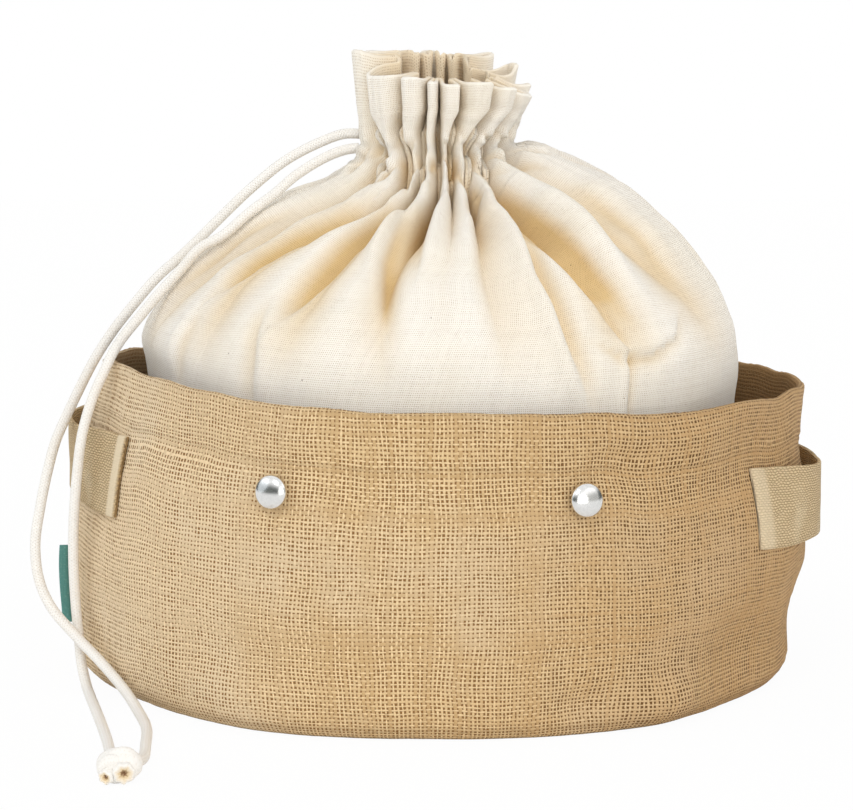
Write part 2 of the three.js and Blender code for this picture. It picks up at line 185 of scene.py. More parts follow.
class NodeDesk:  # a short way to add and join the nodes of a material or of the world
    def __init__(self, owner):
        self.tree = owner.node_tree
        self.shader = self.tree.nodes.get("Principled BSDF")

    def put(self, kind, inputs=None, **settings):
        node = self.tree.nodes.new(kind)
        for key, value in settings.items():
            setattr(node, key, value)
        for key, value in (inputs or {}).items():
            if isinstance(value, bpy.types.NodeSocket):
                self.tree.links.new(value, node.inputs[key])
            else:
                node.inputs[key].default_value = value
        return node

    def math(self, operation, a, b=0.0, c=0.0):
        return self.put("ShaderNodeMath", {0: a, 1: b, 2: c}, operation=operation).outputs[0]

    def times(self, a, b):
        return self.math("MULTIPLY", a, b)

    def timesPlus(self, a, b, c):
        return self.math("MULTIPLY_ADD", a, b, c)

    def band(self, value, low, high, toLow=0.0, toHigh=1.0):  # a soft step from one value to another
        inputs = {"Value": value, "From Min": low, "From Max": high, "To Min": toLow, "To Max": toHigh}
        return self.put("ShaderNodeMapRange", inputs, interpolation_type="SMOOTHSTEP").outputs[0]

    def mix(self, share, a, b, blend="MIX"):
        inputs = {0: share, 6: a, 7: b}
        return self.put("ShaderNodeMix", inputs, data_type="RGBA", blend_type=blend).outputs[2]

    def noise(self, vector, scale, detail=2.0, rough=0.5, output=0):
        inputs = {"Vector": vector, "Scale": scale, "Detail": detail, "Roughness": rough}
        return self.put("ShaderNodeTexNoise", inputs).outputs[output]

    def attribute(self, name):
        return self.put("ShaderNodeAttribute", attribute_name=name).outputs["Fac"]

    def axes(self, vector):
        return self.put("ShaderNodeSeparateXYZ", {0: vector}).outputs

    def cloth(self):  # the piece's own UV map
        return self.put("ShaderNodeUVMap", uv_map="cloth").outputs[0]

    def place(self):
        return self.put("ShaderNodeTexCoord").outputs["Object"]

    def finish(self, color, height, look):
        inputs = {"Height": height, "Strength": look["bump"], "Distance": look["relief"] * mm}
        bump = self.put("ShaderNodeBump", inputs)
        self.tree.links.new(bump.outputs[0], self.shader.inputs["Normal"])
        self.tree.links.new(color, self.shader.inputs["Base Color"])


# What all the weaves share: how threads drift, how their width varies along them, how soft their edges are,
# how far one rises over another, and what keeps the shades of warp and weft apart
weaving = {"drift": 0.11, "driftRough": 0.62, "loose": 0.9, "softEdge": 0.35, "rise": 0.42, "apart": 31.7}


def wovenThreads(desk, threads, look):
    # threads is a vector counted in threads; returns the height of the cloth, where it is thread, not hole,
    # and a shade for each thread
    axes = desk.axes(threads)
    sway = desk.axes(desk.noise(threads, weaving["drift"], 4.0, weaving["driftRough"], "Color"))
    spots = desk.axes(desk.noise(threads, weaving["loose"], 1.0, output="Color"))
    cells, offsets, shades = [], [], []
    for k in (0, 1):
        line = desk.timesPlus(sway[k], look["wobble"], axes[k])
        cell = desk.math("FLOOR", line)
        cells.append(cell)
        offsets.append(desk.math("SUBTRACT", desk.math("SUBTRACT", line, cell), 0.5))
        own = desk.math("ADD", cell, weaving["apart"] * k)
        shades.append(desk.put("ShaderNodeTexWhiteNoise", {"W": own}, noise_dimensions="1D").outputs[0])
    parity = desk.math("PINGPONG", desk.math("ADD", *cells), 1.0)
    over = desk.timesPlus(parity, 2.0, -1.0)
    heights, insides = [], []
    for k, half in enumerate((look["warp"], look["weft"])):
        width = desk.timesPlus(shades[k], look["uneven"], half - look["uneven"] / 2)
        width = desk.math("ADD", width, desk.timesPlus(spots[k], look["uneven"] * 2, -look["uneven"]))
        across = desk.math("DIVIDE", offsets[k], width)
        dome = desk.math("SUBTRACT", 1.0, desk.times(across, across))
        insides.append(desk.band(dome, 0.0, weaving["softEdge"]))
        crown = desk.math("POWER", desk.math("MAXIMUM", dome, 0.0), 0.5)
        wave = desk.math("COSINE", desk.times(offsets[1 - k], math.pi))
        lift = desk.times(wave, over if k == 0 else desk.times(over, -1.0))
        heights.append(desk.times(desk.timesPlus(lift, weaving["rise"], crown), insides[k]))
    onTop = desk.math("GREATER_THAN", *heights)
    shade = desk.put("ShaderNodeMix", {0: onTop, 2: shades[1], 3: shades[0]}, data_type="FLOAT")
    return desk.math("MAXIMUM", *heights), desk.math("MAXIMUM", *insides), shade.outputs[0]


# In each look a step holds two values and, where they aren't 0 and 1, the shares or sizes at them. Pitch and
# relief are in mm, and the jute's steps of painted shade on the right and painted light on the left are
# places along X in metres
juteLook = {
    "surface": {"Roughness": 0.92, "Specular IOR Level": 0.25}, "relief": 0.55, "bump": 0.75,
    "pitch": 1.95, "warp": 0.32, "weft": 0.315, "wobble": 0.8, "uneven": 0.23,
    "pull": (5, 3.2, 0), "pullScale": 0.026, "patchScale": 0.035, "fibreScale": (6, 6, 6),
    "threadTone": 0.55, "fibreTone": 0.6, "insideShare": 0.80,
    "pale": (0.85, 0.64, 0.365, 1), "deep": (0.54, 0.355, 0.17, 1), "grey": (0.76, 0.62, 0.425, 1),
    # painted light and shade: brown and the darker holes shade the right side, the pale colour after brown
    # lights the left, and the colour at the end of this line is shade within the basket
    "brown": (0.46, 0.27, 0.115, 1), "paintedLightLeft": (0.86, 0.725, 0.53, 1), "paintedJuteShade": (0.20, 0.108, 0.038, 1),
    "hole": (0.25, 0.128, 0.045, 1), "paintedShadeRightHole": (0.085, 0.04, 0.012, 1),
    "deepStep": (0.25, 0.95), "greyStep": (0.42, 0.75, 0.0, 0.5), "lowStep": (0.15, 0.95, 0.75, 0.0),
    "paintedShadeRightStep": (-0.02, 0.17, 0.0, 0.66), "paintedLightLeftStep": (-0.17, -0.03, 0.5, 0.0),
    "holeStep": (-0.02, 0.15, 0.0, 0.85),
}


def makeJuteMaterial():
    look = juteLook
    material = newMaterial("jute weave", look["surface"])
    desk = NodeDesk(material)
    flat = desk.cloth()
    pull = desk.noise(flat, look["pullScale"], 2.0, 0.55, "Color")
    pulled = desk.put("ShaderNodeVectorMath", {0: pull, 1: look["pull"], 2: flat}, operation="MULTIPLY_ADD")
    cloth = pulled.outputs[0]
    height, solid, shade = wovenThreads(desk, cloth, look)
    patches = desk.noise(cloth, look["patchScale"], 3.0)
    close = desk.put("ShaderNodeMapping", {0: cloth, 3: look["fibreScale"]}).outputs[0]
    fibres = desk.noise(close, 1.0, 3.0, 0.7)
    tone = desk.timesPlus(shade, look["threadTone"], desk.times(fibres, look["fibreTone"]))
    thread = desk.mix(desk.band(tone, *look["deepStep"]), look["pale"], look["deep"])
    thread = desk.mix(desk.band(patches, *look["greyStep"]), thread, look["grey"])
    # painted shade: where a thread dips low it turns deep, as between the threads
    thread = desk.mix(desk.band(height, *look["lowStep"]), thread, look["deep"])
    rightward = desk.axes(desk.place())[0]
    # painted shade toward the right side and painted light toward the left
    thread = desk.mix(desk.band(rightward, *look["paintedShadeRightStep"]), thread, look["brown"])
    thread = desk.mix(desk.band(rightward, *look["paintedLightLeftStep"]), thread, look["paintedLightLeft"])
    # painted shade: the holes darker toward the right
    hole = desk.mix(desk.band(rightward, *look["holeStep"]), look["hole"], look["paintedShadeRightHole"])
    # painted shade within the basket, on the rim's crest, along the hem's groove and at the foot
    paintedJuteShade = desk.times(desk.attribute("paintedJuteShade"), look["insideShare"])
    color = desk.mix(paintedJuteShade, desk.mix(solid, hole, thread), look["paintedJuteShade"])
    desk.finish(color, height, look)
    return material


cottonLook = {
    "surface": {"Roughness": 0.88, "Specular IOR Level": 0.2, "Sheen Weight": 0.12},
    "relief": 0.24, "bump": 0.6, "pitch": 0.98, "warp": 0.375, "weft": 0.365, "wobble": 0.8, "uneven": 0.12,
    "pale": (0.905, 0.87, 0.805, 1), "cream": (0.88, 0.825, 0.71, 1), "hole": (0.42, 0.29, 0.15, 1),
    # valley is a warm painted shade for the folds, standing in for their shadow and the light bounced in
    # them
    "valley": (0.81, 0.62, 0.345, 1), "speck": (0.10, 0.055, 0.03, 1),
    "patchScale": 0.012, "creamStep": (0.38, 0.72, 0.0, 0.75), "creamThreads": 0.22,
    "holeStep": (0.0, 1.0, 0.8, 0.0),
    "speckScale": 0.1, "speckStep": (0.15, 1.0, 0.0, 0.042), "speckShare": 0.62,
}


def makeCottonMaterial():
    look = cottonLook
    material = newMaterial("cotton weave", look["surface"])
    desk = NodeDesk(material)
    cloth = desk.cloth()
    height, solid, shade = wovenThreads(desk, cloth, look)
    patches = desk.noise(cloth, look["patchScale"], 3.0)
    thread = desk.mix(desk.band(patches, *look["creamStep"]), look["pale"], look["cream"])
    thread = desk.mix(desk.times(shade, look["creamThreads"]), thread, look["cream"])
    color = desk.mix(desk.band(solid, *look["holeStep"]), thread, look["hole"])
    voronoi = {"Vector": cloth, "Scale": look["speckScale"], "Randomness": 1.0}
    specks = desk.put("ShaderNodeTexVoronoi", voronoi).outputs
    size = desk.band(desk.axes(specks["Color"])[0], *look["speckStep"])
    spot = desk.math("LESS_THAN", specks["Distance"], size)
    color = desk.mix(desk.times(spot, look["speckShare"]), color, look["speck"])
    # painted shade: the valley attribute darkens and warms the folds and creases
    color = desk.mix(desk.attribute("valley"), color, desk.mix(1.0, color, look["valley"], "MULTIPLY"))
    desk.finish(color, height, look)
    return material


# Camera, and what the floor and the sky further down are set to
stageSetup = {
    "camera": (-0.0057, -1.357, 0.310), "tilt": 82.38, "lens": 115.51, "sensor": 36, "clip": (0.05, 50),
    "world": 0.73, "glow": 0.96, "floor": (0.95, 0.95, 0.945, 1), "floorAt": -0.0003,
    # the sky that polished caps mirror: how high each of its colours stands
    "mirrored": ((0.0, (0.9, 0.9, 0.9, 1)), (0.03, (0.05, 0.06, 0.05, 1)), (0.33, (0.16, 0.17, 0.16, 1)),
                 (0.55, (1, 1, 1, 1))),
}


def makeCamera():
    data = bpy.data.cameras.new("camera")
    data.sensor_width = stageSetup["sensor"]
    data.lens = stageSetup["lens"]
    data.clip_start, data.clip_end = stageSetup["clip"]
    camera = bpy.data.objects.new("camera", data)
    camera.location = stageSetup["camera"]
    camera.rotation_euler = (math.radians(stageSetup["tilt"]), 0, 0)
    bpy.context.collection.objects.link(camera)
    bpy.context.scene.camera = camera
    bpy.context.scene.view_settings.view_transform = "Standard"


makeCamera()
print("camera ready")

# Drawstring
cordSize = {"diameter": 5.0, "sides": 18, "step": 1.3, "braid": 1.5, "braidTurns": 6, "uneven": 0.012}
cordLook = {
    "surface": {"Roughness": 0.8}, "relief": 0.35, "bump": 0.6,
    "warp": 0.49, "weft": 0.49, "wobble": 0.2, "uneven": 0.04,
    "low": (0.70, 0.63, 0.54, 1), "pale": (0.88, 0.865, 0.835, 1), "fibre": (0.76, 0.68, 0.56, 1),
    "worn": (0.82, 0.76, 0.66, 1), "fibreShare": 0.18,
    "paleStep": (0.2, 1.0), "wornStep": (0.5, 0.8, 0.0, 0.3),
}

# Middle lines of the two strands: out of the casing at the left of the neck, over the bag and the rim,
# down past the left handle and along the floor to the knot
outerRoute = [
    (-38.7, 3.5, 263.5), (-47, 3, 263.3), (-60, 1, 258.6), (-76, -2, 250), (-93, -4, 236.3), (-107, -6, 223),
    (-117.5, -8, 212.6), (-127, -10, 203.6), (-138, -13, 194), (-148.5, -17, 182), (-159.5, -22, 168),
    (-167.8, -28, 155), (-175.3, -36, 139.8), (-181.2, -44, 126.5), (-184.7, -50, 117.5), (-188, -56, 104),
    (-191.3, -62, 86), (-193.2, -66, 70), (-191.2, -70, 54), (-185, -75, 41.5), (-172.5, -82, 28.8),
    (-159.8, -93, 19), (-146.4, -110, 9), (-137.6, -131, 3.6), (-131.8, -155, 2.6), (-129, -186, 2.6),
    (-127.8, -208, 2.8), (-129.9, -228.6, 6),
]
innerRoute = [
    (-39, -4, 256.8), (-46, -5, 255.8), (-56, -8, 252), (-70, -14, 243.5), (-80, -22, 235), (-91, -30, 227),
    (-104.5, -31, 215.6), (-116, -29, 209), (-125.5, -27, 198.4), (-136, -29, 187), (-144.3, -38, 177),
    (-151.8, -49, 167.6), (-156, -57.5, 160.6), (-159.4, -63, 152.6), (-164, -67, 142), (-167.6, -71, 130),
    (-169.4, -74, 121), (-171.6, -75, 103.5), (-173.4, -74.5, 83.3), (-174, -73.5, 63), (-173.4, -73, 43.4),
    (-172, -74, 26), (-170.6, -76.5, 14), (-167.8, -83, 5.6), (-164, -97, 2.7), (-157.4, -127, 2.6),
    (-147.2, -176, 2.6), (-142, -206, 2.8), (-139.6, -228.4, 6),
]


def smoothRoute(points, step):  # a smooth line through the points, at an even step
    points = [Vector(p) for p in points]
    points = [2 * points[0] - points[1], *points, 2 * points[-1] - points[-2]]
    parts = 12  # of the stretch between two points
    dense = []
    for p0, p1, p2, p3 in zip(points, points[1:], points[2:], points[3:]):
        d0, d1, d2 = (math.sqrt((b - a).length) for a, b in ((p0, p1), (p1, p2), (p2, p3)))
        m1 = ((p1 - p0) / d0 - (p2 - p0) / (d0 + d1) + (p2 - p1) / d1) * d1
        m2 = ((p2 - p1) / d1 - (p3 - p1) / (d1 + d2) + (p3 - p2) / d2) * d1
        for k in range(parts):
            t = k / parts
            a, b = 2 * t ** 3 - 3 * t ** 2 + 1, t ** 3 - 2 * t ** 2 + t
            dense.append(a * p1 + b * m1 + (1 - a) * p2 + (t ** 3 - t ** 2) * m2)
    dense.append(points[-2])
    return evenly(dense, step)


def evenly(points, step):  # the same line, with its points an even step apart
    lengths = [0.0]
    for a, b in zip(points, points[1:]):
        lengths.append(lengths[-1] + (b - a).length)
    count = max(2, round(lengths[-1] / step))
    out, i = [], 0
    for k in range(count + 1):
        at = lengths[-1] * k / count
        while i < len(lengths) - 2 and lengths[i + 1] < at:
            i += 1
        share = clamp((at - lengths[i]) / max(1e-9, lengths[i + 1] - lengths[i]))
        out.append(points[i].lerp(points[i + 1], share))
    return out


def tubeRings(line, radiusAt, sides):  # rings round a line, carried along without twist
    rings = []
    along = (line[1] - line[0]).normalized()
    across = along.orthogonal().normalized()
    for i, p in enumerate(line):
        heading = (line[min(i + 1, len(line) - 1)] - line[max(i - 1, 0)]).normalized()
        across = (across - heading * across.dot(heading)).normalized()
        up = heading.cross(across)
        rings.append([
            p + (across * math.cos(a) + up * math.sin(a)) * radiusAt(i, a)
            for a in (2 * math.pi * k / sides for k in range(sides))
        ])
    return [[line[0]], *rings, [line[-1]]]


def makeCordMaterial():
    look = cordLook
    material = newMaterial("braided cord", look["surface"])
    desk = NodeDesk(material)
    strands = desk.cloth()
    height = wovenThreads(desk, strands, look)[0]
    fibres = desk.noise(strands, 2.5, 3.0, 0.6)
    patches = desk.noise(strands, 0.05, 2.0)
    color = desk.mix(desk.band(height, *look["paleStep"]), look["low"], look["pale"])
    color = desk.mix(desk.times(fibres, look["fibreShare"]), color, look["fibre"])
    color = desk.mix(desk.band(patches, *look["wornStep"]), color, look["worn"])
    desk.finish(color, height, look)
    return material


def makeCord(name, route):
    size = cordSize
    line = smoothRoute(route, size["step"])

    def radiusAt(i, a):
        return size["diameter"] / 2 * (1 + size["uneven"] * noiseAt(i * 0.35, a, 3.1))

    def braid(row, col):  # the two directions of the braid cross at 45 degrees
        turned, along = col / size["sides"] * size["braidTurns"], row * size["step"] / size["braid"]
        return (turned + along, turned - along)

    piece = ringMesh(name, tubeRings(line, radiusAt, size["sides"]), braid)
    piece.data.materials.append(cordMaterial)
    return piece, [tuple(p * mm) for p in line]


cordMaterial = makeCordMaterial()
strands = {name: makeCord(name, route) for name, route in (
    ("outerStrand", outerRoute), ("innerStrand", innerRoute),
)}
print("drawstring ready")

# Overhand knot of both strands: short lengths of the strand wound round each other, and the two cut ends
knotPlace = Vector((-135, -236, 8))
knotWraps = table(
    "line radius",
    ([(-3.4, 0.8, -0.8), (0, 0.6, 0), (3.6, 0.8, -0.6)], 6.3),
    ([(-5.6, 3.6, -2.4), (-4.4, 1.2, 2.2), (-0.6, -0.6, 4.2), (3.6, -0.4, 3.8), (6.4, 1.2, 0.6),
      (6.4, 2.4, -2.6)], 3.0),
    ([(-1.4, -3.4, 2.0), (-4.4, -3.0, 1.2), (-6.2, -2.2, -1.4), (-5.8, -1.6, -3.6)], 3.0),
    ([(-5.4, -2.4, -4.7), (-0.6, -3.2, -4.9), (3.8, -2.4, -4.3), (6.2, 0.4, -2.6)], 2.9),
    ([(-6.0, 6.0, -2.6), (-5.4, 3.0, -1.4), (-3.0, 0, 0)], 2.8),
    ([(5.2, 6.4, -2.2), (6.2, 3.0, -0.6), (4.6, 0, 1.0)], 2.9),
)
knotEnds = table(
    "line radius flare folds",
    ([(1.0, 0, -1.2), (2.0, -3.6, -2.0), (2.7, -6.6, -2.6)], 3.6, 4.7, 7),
    ([(-2.4, -0.6, -2.4), (-3.8, -3.6, -3.4), (-4.9, -6.4, -4.2)], 2.8, 3.3, 6),
)
# A cut end from its rim to its middle: share of the radius, how far it bulges and how brown it is
cutFace = (
    (0.94, 0.7, 0.1), (0.8, 1.1, 0.3), (0.62, 1.0, 0.45),
    (0.42, 0.5, 0.6), (0.24, -0.2, 0.85), (0.1, -0.8, 1.0),
)
knotStrand = {
    "sides": 32, "step": 0.5, "braidTurns": 6, "braidRise": 0.4,
    "caps": (0.98, 0.92, 0.82, 0.7, 0.55, 0.38, 0.18),  # how far out the rings of a round end are
    "soft": 0.11, "fine": 0.05, "flareFrom": 0.3, "flareTo": 0.85,
    "frill": 0.09, "unevenFrill": 0.4, "sunk": 1.2,
}
knotLook = {
    "calm": (0.86, 0.84, 0.80, 1), "rim": (0.78, 0.62, 0.38, 1), "core": (0.24, 0.13, 0.06, 1),
    "calmShare": 0.6, "fray": 1400, "bump": 0.25, "coreStep": (0.5, 0.95), "cutStep": (0.08, 0.7),
}


def wrapRings(path, radius):  # a length of strand with round ends
    line = smoothRoute(path, knotStrand["step"])
    caps = knotStrand["caps"]
    lead, trail = (line[0] - line[1]).normalized(), (line[-1] - line[-2]).normalized()
    before = [line[0] + lead * radius * c for c in caps]
    after = [line[-1] + trail * radius * c for c in caps[::-1]]
    line = before + line + after
    fromEnd = [min(i, len(line) - 1 - i) for i in range(len(line))]
    size = [radius * math.sqrt(1 - caps[i] ** 2) if i < len(caps) else radius for i in fromEnd]

    def lumpy(i, a):  # the strand's own folds run along it
        soft = noiseAt(math.cos(a) * 1.6, math.sin(a) * 1.6, i * 0.16 + radius)
        fine = noiseAt(math.cos(a) * 5, math.sin(a) * 5, i * 0.12)
        return size[i] * (1 + knotStrand["soft"] * soft + knotStrand["fine"] * fine)

    return tubeRings(line, lumpy, knotStrand["sides"])


def cutEndRings(path, radius, flare, folds):  # a flaring end, and how brown each of its rings is
    line = smoothRoute(path, knotStrand["step"])
    last = len(line) - 1
    flareFrom, flareTo = knotStrand["flareFrom"], knotStrand["flareTo"]
    grow = [lerp(radius, flare, smoothStep(i / last, flareFrom, flareTo)) for i in range(last + 1)]

    def frilled(i, a):
        frill = knotStrand["frill"] * (i / last) ** 2 * math.cos(folds * a + 1)
        return grow[i] * (1 + frill * (1 + knotStrand["unevenFrill"] * math.sin(2 * a)))

    rings = tubeRings(line, frilled, knotStrand["sides"])
    tip = rings.pop()[0]
    rim = rings[-1]
    heading = (line[-1] - line[-2]).normalized()
    cut = [0.0] * len(rings)
    for share, push, brown in cutFace:
        rings.append([tip.lerp(p, share) + heading * push for p in rim])
        cut.append(brown)
    rings.append([tip - heading * knotStrand["sunk"]])
    return rings, [*cut, 1.0]


def makeKnot():
    parts = []
    for row in knotWraps:
        rings = wrapRings(row["line"], row["radius"])
        parts.append((rings, [0.0] * len(rings)))
    for row in knotEnds:
        parts.append(cutEndRings(row["line"], row["radius"], row["flare"], row["folds"]))

    def braid(row, col):
        turned, along = col / knotStrand["sides"] * knotStrand["braidTurns"], row * knotStrand["braidRise"]
        return (turned + along, turned - along)

    pieces = []
    for rings, cut in parts:
        placed = [[p + knotPlace for p in ring] for ring in rings]
        piece = ringMesh("cordKnot", placed, braid)
        addRingValues(piece, "cut", placed, cut)
        piece.data.materials.append(knotMaterial)
        pieces.append(piece)
    bpy.ops.object.select_all(action="DESELECT")
    for piece in pieces:
        piece.select_set(True)
    bpy.context.view_layer.objects.active = pieces[0]
    bpy.ops.object.join()
    return bpy.context.view_layer.objects.active


def makeKnotMaterial():
    look = knotLook
    material = cordMaterial.copy()
    material.name = "knotted cord"
    desk = NodeDesk(material)
    color = desk.shader.inputs["Base Color"].links[0].from_socket
    fray = desk.noise(desk.place(), look["fray"], 2.0)
    cut = desk.times(desk.attribute("cut"), desk.timesPlus(fray, 0.9, 0.5))
    calm = desk.mix(look["calmShare"], color, look["calm"])
    brown = desk.mix(desk.band(cut, *look["coreStep"]), look["rim"], look["core"])
    color = desk.mix(desk.band(cut, *look["cutStep"]), calm, brown)
    desk.tree.links.new(color, desk.shader.inputs["Base Color"])
    for node in desk.tree.nodes:
        if node.type == "BUMP":
            node.inputs["Strength"].default_value = look["bump"]
    return material


knotMaterial = makeKnotMaterial()
knot = makeKnot()
print("knot ready")

# Cotton bag, from its floor to the top of the ruffle: radius and height toward the front, right, back and
# left, how deep the pleats are gathered, how narrow their valleys are and how far they are closed tubes
bagFloor = 2.5
cottonLevels = table(
    "level r z gather crease tube",
    ("floor", (132, 132, 132, 130), (2.5, 2.5, 2.5, 2.5), 0, 1.6, 0),
    ("corner", (143, 143, 143, 141), (9, 9, 9, 9), 0, 1.6, 0),
    ("low", (150, 149, 150, 146), (48, 48, 48, 48), 1, 1.6, 0),
    ("tuck", (152, 147, 150, 143), (124, 124, 124, 126), 2, 1.6, 0),
    ("rim", (151.5, 149, 150, 145), (147, 148, 148, 151), 1.5, 1.6, 0),
    ("widest", (148, 148, 148, 146), (165, 165, 167, 167), 2.5, 1.6, 0),
    ("shoulder", (139, 142, 141, 136), (183, 184, 188, 184), 4.5, 1.6, 0),
    ("slope", (125, 128.5, 130, 120), (199, 202, 206, 202), 7, 1.7, 0),
    ("crown", (103, 109, 111, 98), (218, 225.5, 228, 221), 10, 1.9, 0),
    ("upper", (80, 89, 87, 74), (230, 243, 244, 234), 13, 2.1, 0.1),
    ("collar", (60, 64, 63, 54), (238.5, 254, 253, 242), 16, 2.4, 0.3),
    ("foot", (47, 50, 49, 43), (245.5, 258, 257, 249), 19, 2.8, 0.5),
    ("pinch", (38, 38, 38, 37.5), (256, 258.5, 258.5, 257), 22, 3, 0.7),
    ("casing", (38, 38, 38, 38), (263, 263, 263, 263), 21.5, 3.2, 0.8),
    ("ruffle", (41, 43, 41, 40), (277, 275, 279, 280), 21, 3.6, 1),
    ("top", (43, 47, 43, 42), (290.5, 283, 302, 303), 20.5, 4, 1),
)
lastLevel = len(cottonLevels) - 1
levelAt = {row["level"]: i for i, row in enumerate(cottonLevels)}
rowsPerLevel = (3, 3, 4, 4, 5, 7, 9, 11, 13, 12, 10, 10, 9, 10, 11)
cottonSheet = {
    "thickness": 1.4, "hem": 2.2, "hemFrom": 0.6, "crest": 0.8, "cutWidth": 940, "floorRadius": 130,
    "columns": 40, "columnsBehind": 22, "tubeWidth": 0.93, "pinchWidth": 0.66, "squareness": 3.2,
    "insidePaintedShade": 0.2,
}

# The valleys between the pleats: their angles at the ruffle, casing, foot, crown, slope and rim, how deep
# each stays on the crown and on the slope, and of the pleat after it the height of its edge and its lean
pleats = table(
    "angles onCrown onSlope top lean",
    ((-67, -56, -44, -57, -66, -74), 0.9, 0.7, 291.5, 0.0),
    ((-30, -33, -20, -36, -47, -50), 1.2, 1.0, 291.0, 0.0),
    ((-9, -12.5, -11, -20, -25, -30), 1.1, 0.9, 289.0, 0.0),
    ((0.5, -0.5, 1, -8, -11, -9), 1.3, 0.8, 287.5, 0.0),
    ((17.5, 11.5, 8, 3, 1, 2), 0.5, 0.1, 288.5, 0.1),
    ((44, 29, 18, 11, 10, 13), 1.0, 0.5, 285.5, 0.2),
    ((63, 48, 31, 31, 35, 38), 1.5, 1.5, 282.0, -0.1),
    ((90, 69, 50, 52, 58, 66), 0.9, 0.9, 287.0, 0.0),
    ((111, 98, 88, 92, 96, 100), 0.5, 0.3, 297.0, 0.1),
    ((133, 126, 121, 124, 126, 128), 0.9, 0.7, 302.5, 0.0),
    ((155, 152, 150, 147, 145, 147), 1.1, 0.5, 301.5, -0.1),
    ((176, 176, 177, 173, 170, 168), 1.2, 0.9, 303.5, 0.0),
    ((198, 200, 203, 204, 207, 208), 0.8, 0.4, 301.5, 0.1),
    ((222, 225, 229, 227, 226, 228), 1.1, 0.8, 303.5, 0.0),
    ((250, 255, 260, 256, 251, 248), 0.7, 0.4, 304.0, 0.0),
)
angleStations = [levelAt[name] for name in ("ruffle", "casing", "foot", "crown", "slope", "rim")][::-1]
# Where the neck is pinched, by level, how full its small folds are, how the back's pleats differ, and how
# far the cloth waves
cottonFolds = {
    "pinchFrom": (10.0, 11.3), "pinchTo": (13.1, 13.9), "full": 0.72, "fullVaries": 0.2,
    "behindFrom": 115, "narrowBehind": 0.55, "rearFrom": (105, 150), "deeperBehind": 0.3, "edgeDrop": 3,
    "wide": 2.3, "cross": 0.9, "fine": 1.1, "slopeStep": 0.4,
}
# How far valleys, waves and creases are given painted shade, a warm darker tint
cottonPaintedShade = {"reach": 1.25, "valley": 0.66, "lessAtTop": 0.2, "waves": 0.03, "creases": 0.15}

# Creases pressed into the pleats: their line as angles and levels, most from the neck down, their depth and
# half width, and the ridge beside them, on the right of a line that runs down or, below zero, on its left
creases = table(
    "line depth width ridge",
    (((-70, 13.3), (-57, 11.8), (-52, 11.0), (-53, 10.2)), 2.6, 1.8, 0.5),
    (((-37, 13.6), (-36, 12.1)), 2.6, 1.3, -0.7),
    (((-34, 12.4), (-27, 11.5), (-19, 9.7)), 2.4, 1.8, -0.5),
    (((-27, 11.7), (-24, 11.0)), 1.6, 1.2, 0.5),
    (((-19, 12.9), (-20.5, 12.0)), 1.6, 1.2, 0.5),
    (((-17.5, 12.9), (-14.5, 11.7), (-15, 10.7)), 2.2, 1.4, 0.5),
    (((-15, 12.1), (-5, 10.5)), 2.0, 1.6, 0.5),
    (((-5, 13.0), (3, 11.9), (10.5, 11.2), (4, 10.0)), 2.6, 1.6, -0.6),
    (((2, 12.9), (11, 12.2), (14, 11.3), (19, 10.4)), 2.4, 1.6, 0.6),
    (((12.5, 12.9), (22, 12.2), (15.5, 11.3)), 2.0, 1.4, 0.5),
    (((14, 13.4), (23.5, 12.0), (23.5, 11.5)), 2.2, 1.4, -0.5),
    (((27, 12.7), (25.5, 11.4)), 1.8, 1.3, 0.5),
    (((29, 12.9), (41, 11.7)), 2.2, 1.6, 0.6),
    (((35.5, 13.3), (47, 12.1)), 2.0, 1.4, 0.6),
    (((51, 13.3), (65.5, 12.1)), 2.0, 1.4, 0.6),
    (((19, 10.9), (19, 9.9), (10.5, 9.0)), 5.0, 3.2, 0.6),
    (((30, 10.6), (33, 9.0), (36, 7.8), (40, 6.5)), 8.5, 7.5, 0.6),
    (((24, 8.6), (31, 7.0), (37.5, 5.5)), 2.6, 3.2, -0.6),
    (((23, 10.4), (24, 8.8), (22.5, 7.2), (24.5, 5.6), (27, 4.0)), 5.4, 4.6, -0.95),
    (((57, 9.4), (60, 8.4), (63, 6.6)), 3.0, 5.0, 0.5),
    (((-31, 9.6), (-39, 8.2), (-49, 7.4), (-54, 6.6)), 9.0, 7.0, 0.5),
    (((-16, 10.0), (-24, 7.9), (-32, 6.0)), 7.6, 6.0, 0.5),
    (((-12.5, 10.0), (-11.5, 8.7), (-13, 7.6), (-9.5, 5.8)), 5.0, 3.6, -0.7),
    (((2, 10.4), (-4, 9.1), (-5, 7.3)), 4.6, 3.4, 0.6),
    (((-37, 6.6), (-35.5, 5.2), (-35, 3.4)), 2.2, 4.5, 0.6),
    (((-56, 6.4), (-57, 3.8)), 2.0, 4.5, -0.5),
    (((36, 5.9), (37.5, 5.2), (35.5, 3.9), (35, 3.0)), 2.2, 2.4, -0.7),
    (((-64, 9.0), (-72, 7.6), (-78, 6.2)), 3.4, 5.5, -0.5),
    (((-84, 9.6), (-92, 7.8)), 3.0, 5.0, 0.5),
    (((82, 9.2), (90, 7.4), (94, 6.2)), 3.4, 5.5, -0.5),
    (((112, 9.6), (109, 7.8), (114, 6.4)), 4.0, 5.0, 0.5),
    (((136, 9.4), (131, 7.6)), 3.4, 5.0, -0.5),
    (((162, 9.8), (156, 8.0), (157, 6.2)), 4.4, 5.5, 0.6),
    (((188, 9.5), (192, 7.6), (189, 6.3)), 4.0, 5.0, -0.6),
    (((214, 9.7), (218, 8.0)), 3.8, 5.0, 0.5),
    (((243, 9.6), (240, 7.8), (243, 6.2)), 4.0, 5.5, 0.6),
    (((29, 5.6), (35, 5.1), (42, 5.05), (49, 5.4), (54, 6.0)), 2.6, 2.8, 0.8),
)
